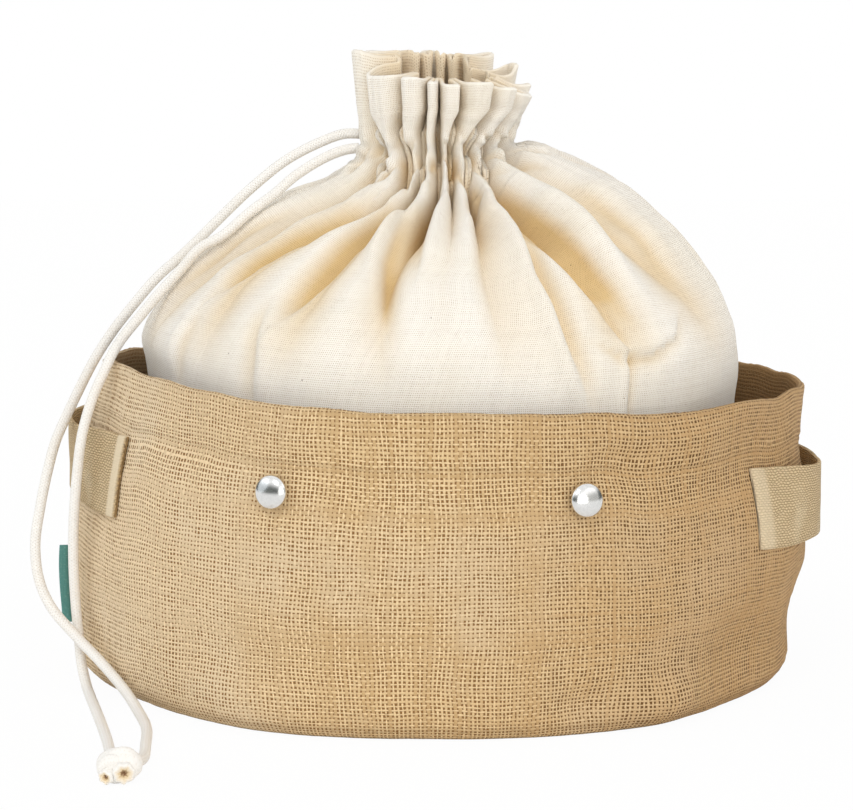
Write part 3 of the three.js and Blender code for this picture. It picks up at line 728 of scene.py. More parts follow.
creaseForm = {"ridgeSide": 0.5, "otherSide": 1.35, "ridgeAt": 1.5, "fade": 0.7}
tucks = {
    "count": 66, "apart": 0.3, "top": (11.7, 13.2), "foot": (9.8, 11.6), "sway": 13,
    "depth": (1.9, 3.6), "width": (1.4, 2.4), "ridge": (-0.6, 0.6),
}


def stationSpline(stations, values, place):
    # a smooth line through unevenly spaced values, level past its ends
    place = clamp(place, stations[0], stations[-1])
    i = 0
    while i < len(stations) - 2 and place > stations[i + 1]:
        i += 1
    x0, x1 = stations[i], stations[i + 1]
    y0, y1 = values[i], values[i + 1]
    m0 = (y1 - values[i - 1]) / (x1 - stations[i - 1]) if i > 0 else (y1 - y0) / (x1 - x0)
    m1 = (values[i + 2] - y0) / (stations[i + 2] - x0) if i + 2 < len(values) else (y1 - y0) / (x1 - x0)
    h = x1 - x0
    t = (place - x0) / h
    a = 2 * t ** 3 - 3 * t ** 2 + 1
    return a * y0 + (1 - a) * y1 + h * ((t ** 3 - 2 * t ** 2 + t) * m0 + (t ** 3 - t ** 2) * m1)


def addTucks():  # small tucks all round the drawn neck
    apart = tucks["apart"]
    for i in range(tucks["count"]):
        angle = 360 * (i + seeded.uniform(-apart, apart)) / tucks["count"]
        angle -= 360 if angle > 270 else 0
        top, foot = seeded.uniform(*tucks["top"]), seeded.uniform(*tucks["foot"])
        creases.append({
            "line": ((angle, top), (angle + seeded.uniform(-1, 1) * tucks["sway"], foot)),
            "depth": seeded.uniform(*tucks["depth"]), "width": seeded.uniform(*tucks["width"]),
            "ridge": seeded.choice(tucks["ridge"]),
        })


def pleatLine(crease, tube, pinched, fill, halfWidth, depth, count):
    # one pleat in section, evenly spaced: across from -1 to 1, down from 0 to 1, with a small fold after it
    flank, valley = 60, 20  # steps down a flank, and along half a valley
    depthCounts = 0.55
    fine = []
    power = 2 / cottonSheet["squareness"]
    tubeWidth = lerp(cottonSheet["tubeWidth"], cottonSheet["pinchWidth"], pinched)
    for k in range(-flank - valley, flank + valley + 1):
        s = min(1, abs(k) / flank)
        turn = math.pi / 2 * s * s * (3 - 2 * s)
        x = lerp(math.sin(math.pi / 2 * s), tubeWidth * math.sin(turn) ** power, tube)
        y = lerp(math.sin(math.pi / 2 * s) ** crease, 1 - max(0.0, math.cos(turn)) ** power, tube)
        rest = clamp((abs(k) - flank) / valley)
        x = lerp(x, 1, rest)
        y -= fill * math.sin(math.pi / 2 * rest) ** 2
        fine.append(Vector((math.copysign(x, k) * halfWidth, y * depth)))
    lengths = [0.0]
    for a, b in zip(fine, fine[1:]):
        lengths.append(lengths[-1] + math.hypot(b.x - a.x, depthCounts * (b.y - a.y)))
    out, i = [], 0
    for k in range(count):
        at = lengths[-1] * k / count
        while lengths[i + 1] < at:
            i += 1
        share = clamp((at - lengths[i]) / max(1e-9, lengths[i + 1] - lengths[i]))
        p = fine[i].lerp(fine[i + 1], share)
        out.append((p.x / halfWidth, p.y / max(depth, 1e-9)))
    return out


def readyCreases():  # each crease's line in degrees and in length up the cloth, and the room it takes
    for row in creases:
        angles = [angle for angle, _ in row["line"]]
        rises = [splineValue(meridian, place) for _, place in row["line"]]
        row["points"] = list(zip(angles, rises))
        row["middle"] = (min(angles) + max(angles)) / 2
        row["reach"] = (max(angles) - min(angles)) / 2 + (25 if row["width"] > 2 else 9)
        row["low"], row["high"] = min(rises) - 4 * row["width"], max(rises) + 4 * row["width"]


def creaseDepth(degrees, rise, radius):
    total = 0.0
    perDegree = math.pi / 180 * radius
    for row in creases:
        if not row["low"] < rise < row["high"]:
            continue
        turned = signedTurn(degrees - row["middle"])
        if abs(turned) > row["reach"]:
            continue
        turned += row["middle"]
        near, along, side = 1e9, 0, 1
        points = [((a - turned) * perDegree, b - rise) for a, b in row["points"]]
        for i, ((x0, y0), (x1, y1)) in enumerate(zip(points, points[1:])):
            dx, dy = x1 - x0, y1 - y0
            t = clamp(-(x0 * dx + y0 * dy) / (dx * dx + dy * dy))
            away = math.hypot(x0 + dx * t, y0 + dy * t)
            if away < near:
                near, along = away, (i + t) / (len(points) - 1)
                side = 1 if dy * x0 - dx * y0 > 0 else -1
        ridge = row["ridge"]
        off = near / row["width"] / creaseForm["ridgeSide" if side * ridge > 0 else "otherSide"]
        beside = near * side / row["width"] - math.copysign(creaseForm["ridgeAt"], ridge)
        fade = row["depth"] * math.sin(math.pi * clamp(along, 0.02, 0.98)) ** creaseForm["fade"]
        total += fade * (math.exp(-off * off) - abs(ridge) * math.exp(-beside * beside))
    return total


def levelValue(key, place):
    return splineValue([row[key] for row in cottonLevels], place)


def levelSides(key, place):  # toward the front, right, back and left
    place = clamp(place, 0, lastLevel)
    return [splineValue([row[key][side] for row in cottonLevels], place) for side in range(4)]


def levelSlope(key, place):
    step = cottonFolds["slopeStep"]
    return [a - b for a, b in zip(levelSides(key, place + step), levelSides(key, place - step))]


def between(place, low, high):  # 0 up to one named level, 1 from the other on
    return smoothStep(place, levelAt[low], levelAt[high])


def cottonRow(place):  # the points of one level and how much painted shade each gets
    folds, paintedShade = cottonFolds, cottonPaintedShade
    radius, height = levelSides("r", place), levelSides("z", place)
    run, climb = levelSlope("r", place), levelSlope("z", place)
    gather, crease, tube = (levelValue(key, place) for key in ("gather", "crease", "tube"))
    onNeck, onSlope = between(place, "upper", "foot"), 1 - between(place, "slope", "upper")
    nearTop, nearNeck = between(place, "casing", "top"), between(place, "slope", "foot")
    onDome = between(place, "tuck", "shoulder") * (1 - nearNeck)
    pinched = smoothStep(place, *folds["pinchFrom"]) * (1 - smoothStep(place, *folds["pinchTo"]))
    angles = [stationSpline(angleStations, row["angles"][::-1], place) for row in pleats]
    depths = [lerp(lerp(row["onCrown"], row["onSlope"], onSlope), 1, onNeck) for row in pleats]
    rise = splineValue(meridian, place)
    points, shade = [], []
    for k, row in enumerate(pleats):
        start, end = angles[k], angles[k + 1] if k + 1 < len(pleats) else angles[0] + 360
        depthHere, depthNext = depths[k], depths[(k + 1) % len(pleats)]
        halfWidth = math.radians(end - start) / 2 * roundSides((start + end) / 2, radius)
        behind = abs(signedTurn(row["angles"][0])) > folds["behindFrom"]
        count = cottonSheet["columnsBehind" if behind else "columns"]
        fill = pinched * (folds["full"] + folds["fullVaries"] * math.cos(5 * k))
        narrow = max(pinched, folds["narrowBehind"] * nearTop) if behind else pinched
        depth = max(0.5, gather * (depthHere + depthNext) / 2)
        lean = row["lean"] * (1 - onNeck)
        for x, y in pleatLine(crease, clamp(tube), narrow, fill, halfWidth, depth, count):
            degrees = lerp(start, end, (x + lean * (1 - x * x) + 1) / 2)
            r, z = roundSides(degrees, radius), roundSides(degrees, height)
            away, up = roundSides(degrees, run), roundSides(degrees, climb)
            size = math.hypot(away, up)
            topEdge = roundSides(degrees, cottonTop)
            z += nearTop * (lerp(row["top"], topEdge - folds["edgeDrop"], x ** 4) - topEdge)
            wide = noiseAt(degrees * 0.05, place * 0.9, 1.7)
            cross = noiseAt(degrees * 0.13, place * 1.7, 4.4)
            fine = noiseAt(degrees * 0.32, place * 0.5, 6.1)
            waves = onDome * (folds["wide"] * wide + folds["cross"] * cross)
            waves += folds["fine"] * nearNeck * fine * (1 - y)
            dip = creaseDepth(degrees, rise, r)
            rear = smoothStep(abs(signedTurn(degrees)), *folds["rearFrom"]) * nearTop
            low = y * (depthHere if x < 0 else depthNext)
            sink = gather * low * (1 + folds["deeperBehind"] * rear) + (waves + dip)
            points.append(fromAngle(degrees, r - sink * up / size, z + sink * away / size))
            # painted shade: deeper in valleys, waves and creases, less near the top
            deep = clamp(low * paintedShade["reach"]) * between(place, "rim", "slope")
            tone = deep * (paintedShade["valley"] - paintedShade["lessAtTop"] * nearTop)
            shade.append(clamp(tone + paintedShade["waves"] * max(0.0, waves) + paintedShade["creases"] * max(0.0, dip)))
    return points, shade


cottonTop = cottonLevels[-1]["z"]
meridian = [0.0]
for lower, upper in zip(cottonLevels, cottonLevels[1:]):
    meridian.append(meridian[-1] + math.hypot(upper["r"][0] - lower["r"][0], upper["z"][0] - lower["z"][0]))
addTucks()
readyCreases()


def turnShares(ring):  # the share of the way round at each point, and at the end
    line = [0.0]
    for a, b in zip(ring, ring[1:] + ring[:1]):
        line.append(line[-1] + (b - a).length)
    return [value / line[-1] for value in line]


def makeCottonBag():
    sheet = cottonSheet
    places = [level + i / rows for level, rows in enumerate(rowsPerLevel) for i in range(rows)]
    places.append(lastLevel)
    made = [cottonRow(place) for place in places]
    outer = [points for points, _ in made]
    inner = []
    for place, ring, normals in zip(places, outer, gridNormals(outer)):
        hemmed = smoothStep(place, levelAt["ruffle"] + sheet["hemFrom"], levelAt["top"])
        thick = lerp(sheet["thickness"], sheet["hem"], hemmed)
        inner.append([p - n * thick for p, n in zip(ring, normals)])
    crest = [(p + q) / 2 + Vector((0, 0, sheet["crest"])) for p, q in zip(outer[-1], inner[-1])]
    outerFloor, innerFloor = ([Vector((0, 0, z))] for z in (bagFloor, bagFloor + sheet["thickness"]))
    rings = [outerFloor, *outer, crest, *inner[::-2], innerFloor]
    last = len(outer) - 1
    levelOf = [0, *range(last + 1), last, *range(last, -1, -2), 0]  # the outer ring beside each ring
    lines = [turnShares(ring) for ring in outer]
    rise = riseOf(outer, 11)
    cells = round(sheet["cutWidth"] / cottonLook["pitch"] / 2) * 2

    def weave(row, col):
        line = lines[levelOf[row]]
        whole = int(col)
        share = line[whole] if whole == col else (line[whole] + line[whole + 1]) / 2
        inward = sheet["floorRadius"] if row in (0, len(rings) - 1) else 0
        return (share * cells, (rise[levelOf[row]] - inward) / cottonLook["pitch"])

    piece = ringMesh("cottonBag", rings, weave)
    # painted shade also on the bag's inside, never below a small share
    paintedInsideShare = sheet["insidePaintedShade"]
    valley = [0.0] + [v for _, shade in made for v in shade] + made[-1][1]
    valley += [lerp(v, 1, paintedInsideShare) for _, shade in made[::-2] for v in shade] + [paintedInsideShare]
    addValues(piece, "valley", valley)
    piece.data.materials.append(makeCottonMaterial())
    return piece


cottonBag = makeCottonBag()
print("cotton bag ready", len(cottonBag.data.polygons))

# Jute basket wall: the outer radius at each share of the rim's height, and how far it buckles
wallLevels = table(
    "up r wave",
    (0.0, (168, 168, 165, 170), 2.6),
    (0.014, (171.5, 171.5, 168.5, 174), 3.0),
    (0.05, (174, 175.5, 172.5, 180.5), 3.4),
    (0.13, (176, 176, 175.5, 183), 2.6),
    (0.25, (177, 178, 178, 184), 1.6),
    (0.4, (178.5, 181, 179, 182.5), 1.0),
    (0.58, (178, 181.5, 178.5, 178.7), 0.9),
    (0.76, (175.5, 179.5, 176, 174.5), 1.0),
    (0.836, (174.2, 179.3, 174.5, 171.5), 1.0),
    (0.93, (172.3, 179.8, 173, 167), 1.3),
    (1.0, (171, 180.2, 172, 165), 1.6),
)
rimLine = [
    (-90, 152), (-70, 156), (-48, 152), (-25, 148.2), (0, 145.3), (20, 145), (38, 141.7), (60, 143.4),
    (90, 140.8), (120, 140.8), (165, 146), (210, 147.5), (245, 149.5), (270, 152),
]
# Where the wall sinks in or, below zero, swells out: turn, height, half sizes and depth
dents = table(
    "turn z wide tall depth",
    (28, 122, 7, 9, 5.4),
    (41, 131, 8, 9, -3.8),
    (57, 122, 7, 14, 3.4),
    (-40, 128, 9, 8, 3.2),
    (-22, 134, 8, 8, -1.6),
    (37, 12, 7, 10, -7.5),
    (21, 14, 6, 10, 5),
    (51, 30, 7, 16, 4.2),
    (-30, 16, 9, 10, -2.2),
    (-60, 36, 8, 18, 2.4),
    (6, 58, 13, 22, 1.6),
    (-14, 80, 12, 20, -1.2),
    (82, 26, 10, 14, 2.6),
    (86, 56, 9, 10, -2.0),
    (66, 66, 8, 26, -1.8),
)
juteWall = {
    "columns": 384, "threads": 574, "thickness": 2.0, "footTurnIn": 6, "base": 2.2, "gap": 0.3,
    "hemDepth": 24, "hemThickness": 3.6, "hemStep": 0.75, "hemFade": 0.4, "groove": 0.8, "grooveWidth": 0.9,
    "frayed": 2.4, "swell": 2.2, "lumps": 0.8, "fineLumps": 0.3, "crest": 0.9, "crestVaries": 0.35,
    # how much painted shade the outside gets: row by row at the foot and across the groove, then on the hem
    # and its crest
    "footShade": [0.12, 0.06, 0.02, 0.34, 0.06], "grooveShade": [0.0, 0.0, 0.05, 0.0, 0.22, 0.1, 0.0],
    "hemShade": 0.05, "crestShade": 0.25,
}


def rimAt(degrees):
    frayed = juteWall["frayed"] * noiseRound(degrees, 5.5, 11)
    turned = (degrees + 90) % 360 - 90
    for (a0, z0), (a1, z1) in zip(rimLine, rimLine[1:]):
        if turned <= a1:
            return lerp(z0, z1, smoothStep(turned, a0, a1)) + frayed
    return rimLine[-1][1] + frayed


def buckle(degrees, up):  # short waves at the foot, most at the front and back, and long ones at the rim
    foot = math.cos(math.radians(6.2 * (degrees - 29))) * math.cos(math.radians(degrees)) ** 2
    rim = math.cos(math.radians(4 * degrees + 40)) + 0.5 * math.cos(math.radians(7 * degrees - 60))
    return lerp(foot, rim, clamp(up * 1.6))


def dentDepth(row, turned, z):
    across, along = (turned - row["turn"]) / row["wide"], (z - row["z"]) / row["tall"]
    return row["depth"] * math.exp(-across ** 2 - along ** 2)


def wallRadius(degrees, z):
    up = clamp(z / rimAt(degrees))
    turned = signedTurn(degrees)
    ups = [row["up"] for row in wallLevels]
    radius = stationSpline(ups, [roundSides(degrees, row["r"]) for row in wallLevels], up)
    wave = stationSpline(ups, [row["wave"] for row in wallLevels], up)
    swell = juteWall["swell"] * noiseRound(degrees, 2.2, z * 0.02 + 3) * smoothStep(up, 0.03, 0.2)
    return radius + wave * buckle(turned, up) + swell - sum(dentDepth(row, turned, z) for row in dents)


def wallPoint(degrees, z, inset):
    wall = juteWall
    lumps = wall["lumps"] * noiseRound(degrees, 6.5, z * 0.05)
    lumps += wall["fineLumps"] * noiseRound(degrees, 30, z * 0.3)
    hem = 0
    if inset == 0:  # outside, the hem stands out over a groove and fades toward the rim
        above = z - (rimAt(degrees) - wall["hemDepth"] - 1)
        hem = wall["hemStep"] * smoothStep(above, -1.6, 0) - wall["hemFade"] * smoothStep(above, 3, 20)
        hem -= wall["groove"] * math.exp(-((above - 0.9) / wall["grooveWidth"]) ** 2)
    return fromAngle(degrees, wallRadius(degrees, z) - inset + hem + lumps, z)


def makeJuteWall():
    wall = juteWall
    turns = [180 + 360 * i / wall["columns"] for i in range(wall["columns"])]
    depth, hemInset, inset = wall["hemDepth"], wall["hemThickness"], wall["thickness"]

    def ringAt(share, inset=0):  # at a share of the rim's height
        return [wallPoint(a, share * rimAt(a), inset) for a in turns]

    def ringFromRim(offset, inset=0):
        return [wallPoint(a, rimAt(a) + offset, inset) for a in turns]

    ups = [0, 0.007, 0.014, 0.03, 0.05] + [0.05 + 0.74 * i / 37 for i in range(1, 38)]
    outer = [ringAt(up) for up in ups]
    outer += [ringFromRim(off - depth - 1) for off in (-3.4, -1.8, -0.8, 0, 0.8, 1.8, 3.2)]
    outer += [ringAt(0.87 + 0.13 * i / 7) for i in range(8)]
    crest = []
    for a in turns:
        over = wall["crest"] + wall["crestVaries"] * noiseAt(a * 0.9, 0, 9.0)
        crest.append(wallPoint(a, rimAt(a) + over, hemInset / 2))
    inner = [ringFromRim(-share * depth, hemInset) for share in (0, 0.2, 0.4, 0.6, 0.8, 1)]
    inner.append(ringFromRim(-depth - 1.5, inset))
    inner += [ringAt(up, inset) for up in (0.7, 0.58, 0.4, 0.25, 0.13, 0.05)]
    inner += [footRing(turns, wall["base"]), footRing(turns, 0)]
    rings = [*outer, crest, *inner]
    rise = riseOf([*rings, rings[0]], 16)

    def weave(row, col):
        return (col / len(turns) * wall["threads"], rise[row] / juteLook["pitch"])

    piece = ringMesh("juteWall", rings, weave, closed=True)
    # painted shade for each ring: at the foot, in the groove, on the hem and crest, and fully inside
    paintedJuteShade = wall["footShade"] + [0.0] * (len(ups) - len(wall["footShade"])) + wall["grooveShade"]
    paintedJuteShade += [wall["hemShade"]] * 8 + [wall["crestShade"]] + [1.0] * len(inner)
    addRingValues(piece, "paintedJuteShade", rings, paintedJuteShade)
    piece.data.materials.append(juteMaterial)
    return piece


def footRing(turns, z, gap=0.0):
    return [fromAngle(a, wallRadius(a, 0) - juteWall["footTurnIn"] - gap, z) for a in turns]


def makeJuteBase():
    turns = [360 * i / 96 for i in range(96)]
    top = juteWall["base"]
    edge = {z: footRing(turns, z, juteWall["gap"]) for z in (0, top)}
    shares = (0.05, 0.2, 0.4, 0.6, 0.8, 0.92, 1)
    places = [(0, share) for share in shares] + [(top, share) for share in shares[::-1]]
    layers = [[Vector((p.x * share, p.y * share, z)) for p in edge[z]] for z, share in places]
    rings = [[Vector((0, 0, 0))], *layers, [Vector((0, 0, top))]]

    def flat(row, col):
        ring = rings[row]
        p = ring[0] if len(ring) == 1 else ring[int(col) % len(ring)]
        return (p.x / juteLook["pitch"], p.y / juteLook["pitch"])

    piece = ringMesh("juteBase", rings, flat)
    # painted shade: the base fully on its top inside the basket, partly underneath
    addValues(piece, "paintedJuteShade", [0.3 if p.z < 1 else 1.0 for ring in rings for p in ring])
    piece.data.materials.append(juteMaterial)
    return piece


juteMaterial = makeJuteMaterial()
wallPiece = makeJuteWall()
basePiece = makeJuteBase()
print("jute basket ready", len(wallPiece.data.polygons))

# Loop handles: webbing sewn to the wall at both ends, with the heights of its middle line at the front end,
# at the loop and at the back end, and whether a strip of stitched edge shows at the front end
handles = table(
    "name middle span heights standOff strip",
    ("leftHandle", -90, 32.5, (107, 107, 104), 4.6, 1.0),
    ("rightHandle", 89, -34.1, (93.5, 84.5, 86), 5.2, 0.0),
)
webbing = {
    "width": 38, "thickness": 2.0, "pitch": 3.0, "rib": 1.2, "steps": 90, "rows": 14,
    "edgeFlat": 0.8, "edgeRound": 0.15, "offWall": 0.5, "sunkEnd": 0.55, "bow": 0.35, "drawnIn": 0.07,
    "crowded": 0.8,  # below 1, the steps lie closer at the ends
}
webbingLook = {
    "surface": {"Roughness": 0.9, "Specular IOR Level": 0.2}, "relief": 0.8, "bump": 0.8,
    "pale": (0.80, 0.64, 0.40, 1), "deep": (0.60, 0.44, 0.25, 1), "low": (0.36, 0.25, 0.13, 1),
    "worn": (0.76, 0.64, 0.44, 1), "panelPale": (0.80, 0.69, 0.51, 1), "panelDeep": (0.56, 0.44, 0.28, 1),
    "stitchPale": (0.46, 0.30, 0.13, 1), "stitchDeep": (0.16, 0.09, 0.035, 1), "fibreShare": 0.9,
    "lowStep": (0.05, 0.85, 0.85, 0.0), "wornStep": (0.5, 0.8, 0.0, 0.4), "stitchStep": (0.4, 0.65),
    "ribSway": 0.9, "alongSway": 0.7, "ribShift": 0.42,
    "domeAlong": -3.2, "domeAcross": -3.4, "panelRelief": -0.8,
}


def makeWebbingMaterial():
    look = webbingLook
    material = newMaterial("webbing", look["surface"])
    desk = NodeDesk(material)
    cloth = desk.cloth()
    axes = desk.axes(cloth)
    sway = desk.timesPlus(desk.noise(cloth, 0.35, 2.0), look["ribSway"], axes[1])
    line = desk.times(sway, webbing["pitch"] / webbing["rib"])
    shift = desk.times(desk.math("FLOOR", line), look["ribShift"])
    along = desk.math("ADD", desk.timesPlus(desk.noise(cloth, 0.6, 2.0), look["alongSway"], axes[0]), shift)
    dips = [desk.math("SUBTRACT", desk.math("FRACT", value), 0.5) for value in (along, line)]
    dome = desk.timesPlus(desk.times(dips[0], dips[0]), look["domeAlong"], 1.0)
    dome = desk.timesPlus(desk.times(dips[1], dips[1]), look["domeAcross"], dome)
    height = desk.math("MAXIMUM", dome, 0.0)
    fibres = desk.times(desk.noise(cloth, 4.0, 3.0, 0.65), look["fibreShare"])
    patches = desk.noise(cloth, 0.12, 2.0)
    color = desk.mix(fibres, look["pale"], look["deep"])
    color = desk.mix(desk.band(height, *look["lowStep"]), color, look["low"])
    color = desk.mix(desk.band(patches, *look["wornStep"]), color, look["worn"])
    panel = desk.attribute("foldedEnd")
    color = desk.mix(panel, color, desk.mix(fibres, look["panelPale"], look["panelDeep"]))
    stitches = desk.band(desk.noise(cloth, 1.6, 2.0), *look["stitchStep"])
    stitched = desk.mix(stitches, look["stitchPale"], look["stitchDeep"])
    color = desk.mix(desk.attribute("cutEnd"), color, stitched)
    desk.finish(color, desk.times(height, desk.timesPlus(panel, look["panelRelief"], 1.0)), look)
    return material


def webbingOutline():  # section of the webbing: place across, depth from its back face
    half, thick, rows = webbing["width"] / 2, webbing["thickness"], webbing["rows"]
    flat, near = half - webbing["edgeFlat"], half - webbing["edgeRound"]
    front = [(lerp(-flat, flat, k / rows), thick) for k in range(rows + 1)]
    edge = [(near, thick * 0.85), (half, thick * 0.5), (near, thick * 0.15)]
    back = [(across, 0) for across, _ in front[::-1]]
    return front + edge + back + [(-across, depth) for across, depth in edge[::-1]]


def makeHandle(name, middle, span, heights, standOff, strip):
    front, loop, back = heights
    steps, outline = webbing["steps"], webbingOutline()
    rings, folded, cut = [], [], []
    for i in range(steps + 1):
        t = 2 * i / steps - 1
        t = math.copysign(abs(t) ** webbing["crowded"], t)
        degrees = middle - span * t
        lift = smoothStep(1 - abs(t), 0.14, 0.62)
        height = lerp(loop, front if t < 0 else back, abs(t))
        endFade = 1 - webbing["sunkEnd"] * smoothStep(abs(t), 0.985, 1.0)
        narrow = 1 - 0.012 * smoothStep(abs(t), 0.96, 1.0) - webbing["drawnIn"] * lift
        ring = []
        for across, depth in outline:
            bow = webbing["bow"] * noiseAt(t * 3, across * 0.08, middle)
            z = height + across * narrow + bow * 0.6 + 0.8 * lift
            wall = lerp(wallRadius(degrees, z), wallRadius(degrees, height), lift)
            out = webbing["offWall"] + standOff * lift + depth * endFade + bow * lift
            ring.append(fromAngle(degrees, wall + out, z))
        rings.append(ring)
        sewn = (t + 1) * math.radians(abs(span)) * 180  # from the front end, in mm round the wall
        edge = 1.0 if strip and sewn < 1.3 else 0.0
        panel = smoothStep(-sewn, -9, -7.5) if strip else 0.55 * smoothStep(-sewn, -13, -8)
        cut.append(edge)
        folded.append(panel * (1 - edge))
    run = [0.0]
    for a, b in zip(rings, rings[1:]):
        run.append(run[-1] + (b[webbing["rows"] // 2] - a[webbing["rows"] // 2]).length)
    rings = closedEnds(rings)
    acrossAt = [k for k, _ in outline] + [outline[0][0]]

    def weave(row, col):
        along = run[int(clamp(row - 1, 0, steps))]
        return (along / webbing["pitch"], acrossAt[int(col) % len(acrossAt)] / webbing["pitch"])

    piece = ringMesh(name, rings, weave)
    addRingValues(piece, "foldedEnd", rings, [folded[0], *folded, folded[-1]])
    addRingValues(piece, "cutEnd", rings, [cut[0], *cut, cut[-1]])
    piece.data.materials.append(webbingMaterial)
    return piece, run[-1]


webbingMaterial = makeWebbingMaterial()
handlePieces = {row["name"]: makeHandle(**row) for row in handles}
print("handles ready")

# Press-stud caps: a polished dome with a rolled edge
studs = [{"name": "leftStud", "at": -24.5, "z": 111}, {"name": "rightStud", "at": 21.2, "z": 108}]
studCap = {
    "radius": 8.0, "height": 4.4, "edge": 0.9, "gap": 0.7, "domeFoot": 0.965,
    "rolled": ((1.03, -0.12), (1.012, -0.3), (0.985, -0.3), (0.90, -0.12)),  # growth and drop of each ring
}
studLook = {
    "surface": {"Metallic": 1.0, "Roughness": 0.2}, "relief": 0.02, "bump": 0.25,
    "pale": (0.80, 0.80, 0.79, 1), "dull": (0.74, 0.74, 0.735, 1), "marks": 900, "dullStep": (0.3, 0.7),
}


def makeStud(name, at, z):
    cap = studCap
    bpy.ops.object.select_all(action="DESELECT")
    bpy.ops.mesh.primitive_uv_sphere_add(segments=64, ring_count=32, radius=cap["radius"] * mm)
    piece = bpy.context.object
    piece.name = name
    bpy.ops.object.mode_set(mode="EDIT")
    bpy.ops.mesh.select_all(action="SELECT")
    bpy.ops.mesh.bisect(plane_co=(0, 0, 0), plane_no=(0, 0, 1), clear_inner=True, use_fill=False)
    bpy.ops.mesh.select_all(action="SELECT")
    dome = (cap["height"] - cap["edge"]) / cap["radius"]
    bpy.ops.transform.resize(value=(cap["domeFoot"], cap["domeFoot"], dome))
    bpy.ops.mesh.select_all(action="DESELECT")
    bpy.ops.object.mode_set(mode="OBJECT")
    for vertex in piece.data.vertices:
        vertex.select = abs(vertex.co.z) < 1e-6
    for edge in piece.data.edges:
        edge.select = all(piece.data.vertices[v].select for v in edge.vertices)
    bpy.ops.object.mode_set(mode="EDIT")
    for grow, drop in cap["rolled"]:
        bpy.ops.mesh.extrude_edges_move(TRANSFORM_OT_translate={"value": (0, 0, drop * mm)})
        bpy.ops.transform.resize(value=(grow, grow, 1))
    bpy.ops.mesh.edge_face_add()
    bpy.ops.object.mode_set(mode="OBJECT")
    turnOutward(piece.data)
    up = fromAngle(at, wallRadius(at, z + 5), z + 5) - fromAngle(at, wallRadius(at, z - 5), z - 5)
    facing = fromAngle(at + 90, 1, 0).cross(up).normalized()
    edgeDepth = -sum(drop for _, drop in cap["rolled"])
    foot = fromAngle(at, wallRadius(at, z), z) + facing * (cap["gap"] + edgeDepth)
    turn = facing.to_track_quat("Z", "Y").to_matrix().to_4x4()
    piece.data.transform(Matrix.Translation(foot * mm) @ turn)
    bpy.ops.object.shade_smooth_by_angle(angle=math.radians(50))
    piece.data.materials.append(studMaterial)
    return piece


def makeStudMaterial():
    look = studLook
    material = newMaterial("polished steel", look["surface"])
    desk = NodeDesk(material)
    marks = desk.noise(desk.place(), look["marks"], 3.0)
    desk.finish(desk.mix(desk.band(marks, *look["dullStep"]), look["pale"], look["dull"]), marks, look)
    return material


studMaterial = makeStudMaterial()
studPieces = [makeStud(**row) for row in studs]
print("studs ready")

# Folded tab sewn into the wall at the left; girth says how far round the fold each point of a ring is
tab = {
    "at": -88, "foot": 19.5, "height": 39, "reach": 5.6, "thickness": 1.8, "waist": 0.25, "lean": 0.5,
    "rows": 36, "girth": (0, 1.8, 4.6, 6.2, 6.9, 7.2, 7.5, 7.8, 8.1, 8.4, 9.2, 10.8, 14),
}
tabLook = {
    "surface": {"Roughness": 0.75}, "relief": 0.2, "bump": 0.6, "pitchAcross": 0.7, "pitch": 0.55,
    "warp": 0.47, "weft": 0.47, "wobble": 0.3, "uneven": 0.06,
    "deep": (0.012, 0.085, 0.082, 1), "teal": (0.095, 0.29, 0.27, 1), "worn": (0.34, 0.54, 0.51, 1),
    "tealStep": (0.1, 0.9), "wornStep": (0.55, 0.8, 0.0, 0.55),
}


def makeTabMaterial():
    look = tabLook
    material = newMaterial("teal ribbon", look["surface"])
    desk = NodeDesk(material)
    cloth = desk.cloth()
    height = wovenThreads(desk, cloth, look)[0]
    wear = desk.noise(cloth, 0.5, 3.0)
    color = desk.mix(desk.band(height, *look["tealStep"]), look["deep"], look["teal"])
    color = desk.mix(desk.band(wear, *look["wornStep"]), color, look["worn"])
    desk.finish(color, height, look)
    return material


def makeTab():
    rings = []
    for row in range(tab["rows"] + 1):
        share = row / tab["rows"]
        z = tab["foot"] + tab["height"] * share
        root = wallRadius(tab["at"], z) + 0.3
        half = tab["thickness"] / 2 * (1 - tab["waist"] * math.sin(math.pi * share))
        lean = tab["lean"] * math.sin(math.pi * share) + 0.15 * math.sin(9 * share)
        outline = [(0, -half), (0, half), (0.5, half), (0.8, half * 0.95)]
        for a in (0.3, 0.8, 1.3, 1.84, 2.34, 2.84):  # round the fold
            outline.append((1 - 0.12 * (1 - math.sin(a)), half * math.cos(a)))
        outline += [(0.8, -half * 0.95), (0.5, -half)]
        ring = []
        for out, side in outline:
            p = fromAngle(tab["at"], root + out * tab["reach"], z)
            ring.append(p + fromAngle(tab["at"] + 90, 1, 0) * (side + lean * out))
        rings.append(ring)
    girth, rowHeight = tab["girth"], tab["height"] / tab["rows"]

    def weave(row, col):
        return (girth[int(col) % len(girth)] / tabLook["pitchAcross"], row * rowHeight / tabLook["pitch"])

    piece = ringMesh("sideTab", closedEnds(rings), weave)
    piece.data.materials.append(makeTabMaterial())
    return piece


sideTab = makeTab()
print("side tab ready")


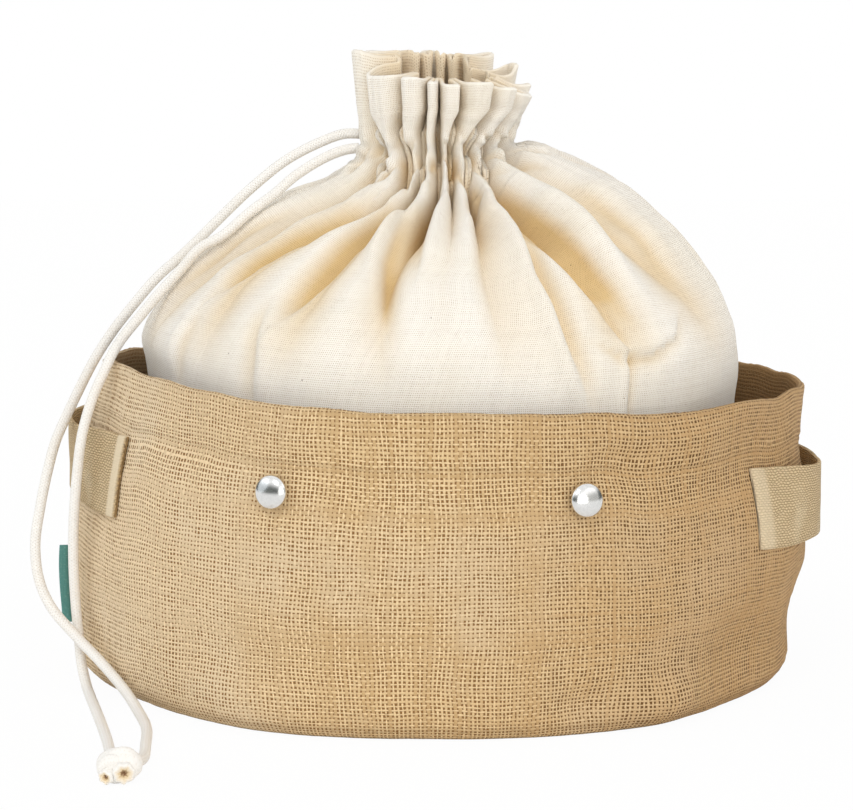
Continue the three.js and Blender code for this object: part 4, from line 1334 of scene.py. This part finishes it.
# Floor, sky and lights
def makeFloor():
    bpy.ops.mesh.primitive_plane_add(size=8, location=(0, 0, 0))
    floor = bpy.context.object
    floor.name = "floor"
    floor.location.z = stageSetup["floorAt"]
    material = newMaterial("pale floor", {"Roughness": 0.9, "Base Color": stageSetup["floor"]})
    desk = NodeDesk(material)
    seen = desk.put("ShaderNodeLightPath").outputs["Is Camera Ray"]
    share = desk.times(seen, stageSetup["glow"])
    glow = desk.put("ShaderNodeEmission").outputs[0]
    blend = desk.put("ShaderNodeMixShader", {0: share, 1: desk.shader.outputs[0], 2: glow})
    desk.tree.links.new(blend.outputs[0], desk.tree.nodes["Material Output"].inputs[0])
    floor.data.materials.append(material)


def makeSky():  # white, but polished caps mirror one with a dark band
    world = bpy.data.worlds.new("studio")
    bpy.context.scene.world = world
    world.use_nodes = True
    desk = NodeDesk(world)
    white = (1, 1, 1, 1)
    up = desk.axes(desk.put("ShaderNodeTexCoord").outputs["Generated"])[2]
    ramp = desk.put("ShaderNodeValToRGB", {0: up})
    ramp.color_ramp.elements.new(0.2)
    ramp.color_ramp.elements.new(0.3)
    for stop, (at, color) in zip(ramp.color_ramp.elements, stageSetup["mirrored"]):
        stop.position, stop.color = at, color
    fill = desk.tree.nodes["Background"]
    fill.inputs[0].default_value, fill.inputs[1].default_value = white, stageSetup["world"]
    mirrored = desk.put("ShaderNodeBackground", {0: ramp.outputs[0]})
    behind = desk.put("ShaderNodeBackground", {0: white})
    rays = desk.put("ShaderNodeLightPath").outputs
    last = fill.outputs[0]
    for sky, seen in ((mirrored, "Is Glossy Ray"), (behind, "Is Camera Ray")):
        last = desk.put("ShaderNodeMixShader", {0: rays[seen], 1: last, 2: sky.outputs[0]}).outputs[0]
    desk.tree.links.new(last, desk.tree.nodes["World Output"].inputs[0])


studioLights = table(
    "name from spread power color",
    ("key", (-0.6, -1.7, 1.9), 16, 0.56, (1, 0.985, 0.96)),
    ("front", (0.55, -2.0, 0.3), 45, 0.84, (1, 0.985, 0.96)),
    ("right", (2.0, -1.3, 0.8), 60, 0.36, (1, 0.97, 0.93)),
    ("left", (-2.0, -0.3, 0.9), 50, 0.37, (0.88, 0.94, 1)),
)


def makeLights():
    for row in studioLights:
        data = bpy.data.lights.new(row["name"], "SUN")
        data.energy, data.angle, data.color = row["power"], math.radians(row["spread"]), row["color"]
        lamp = bpy.data.objects.new(row["name"], data)
        lamp.location = row["from"]
        lamp.rotation_euler = (-Vector(row["from"])).to_track_quat("-Z", "Y").to_euler()
        bpy.context.collection.objects.link(lamp)


makeFloor()
makeSky()
makeLights()
print("floor, sky and lights ready")

# What each piece is, what it stands for and where its finish comes from
piecesMade = [
    (strands["outerStrand"][0], ("cord_outer",), "cord"),
    (strands["innerStrand"][0], ("cord_inner",), "cord"),
    (knot, ("cord_knot",), "cord"),
    (cottonBag, ("cotton_bag",), "cotton"),
    (wallPiece, ("jute_wall",), "jute"),
    (basePiece, ("jute_base",), "jute"),
    (handlePieces["leftHandle"][0], ("handle_left",), "webbing"),
    (handlePieces["rightHandle"][0], ("handle_right",), "webbing"),
    (studPieces[0], ("stud_left",), "stud"),
    (studPieces[1], ("stud_right",), "stud"),
    (sideTab, ("side_label",), "label"),
]
for piece, nodes, slot in piecesMade:
    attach(piece, "root")
    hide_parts(*nodes)
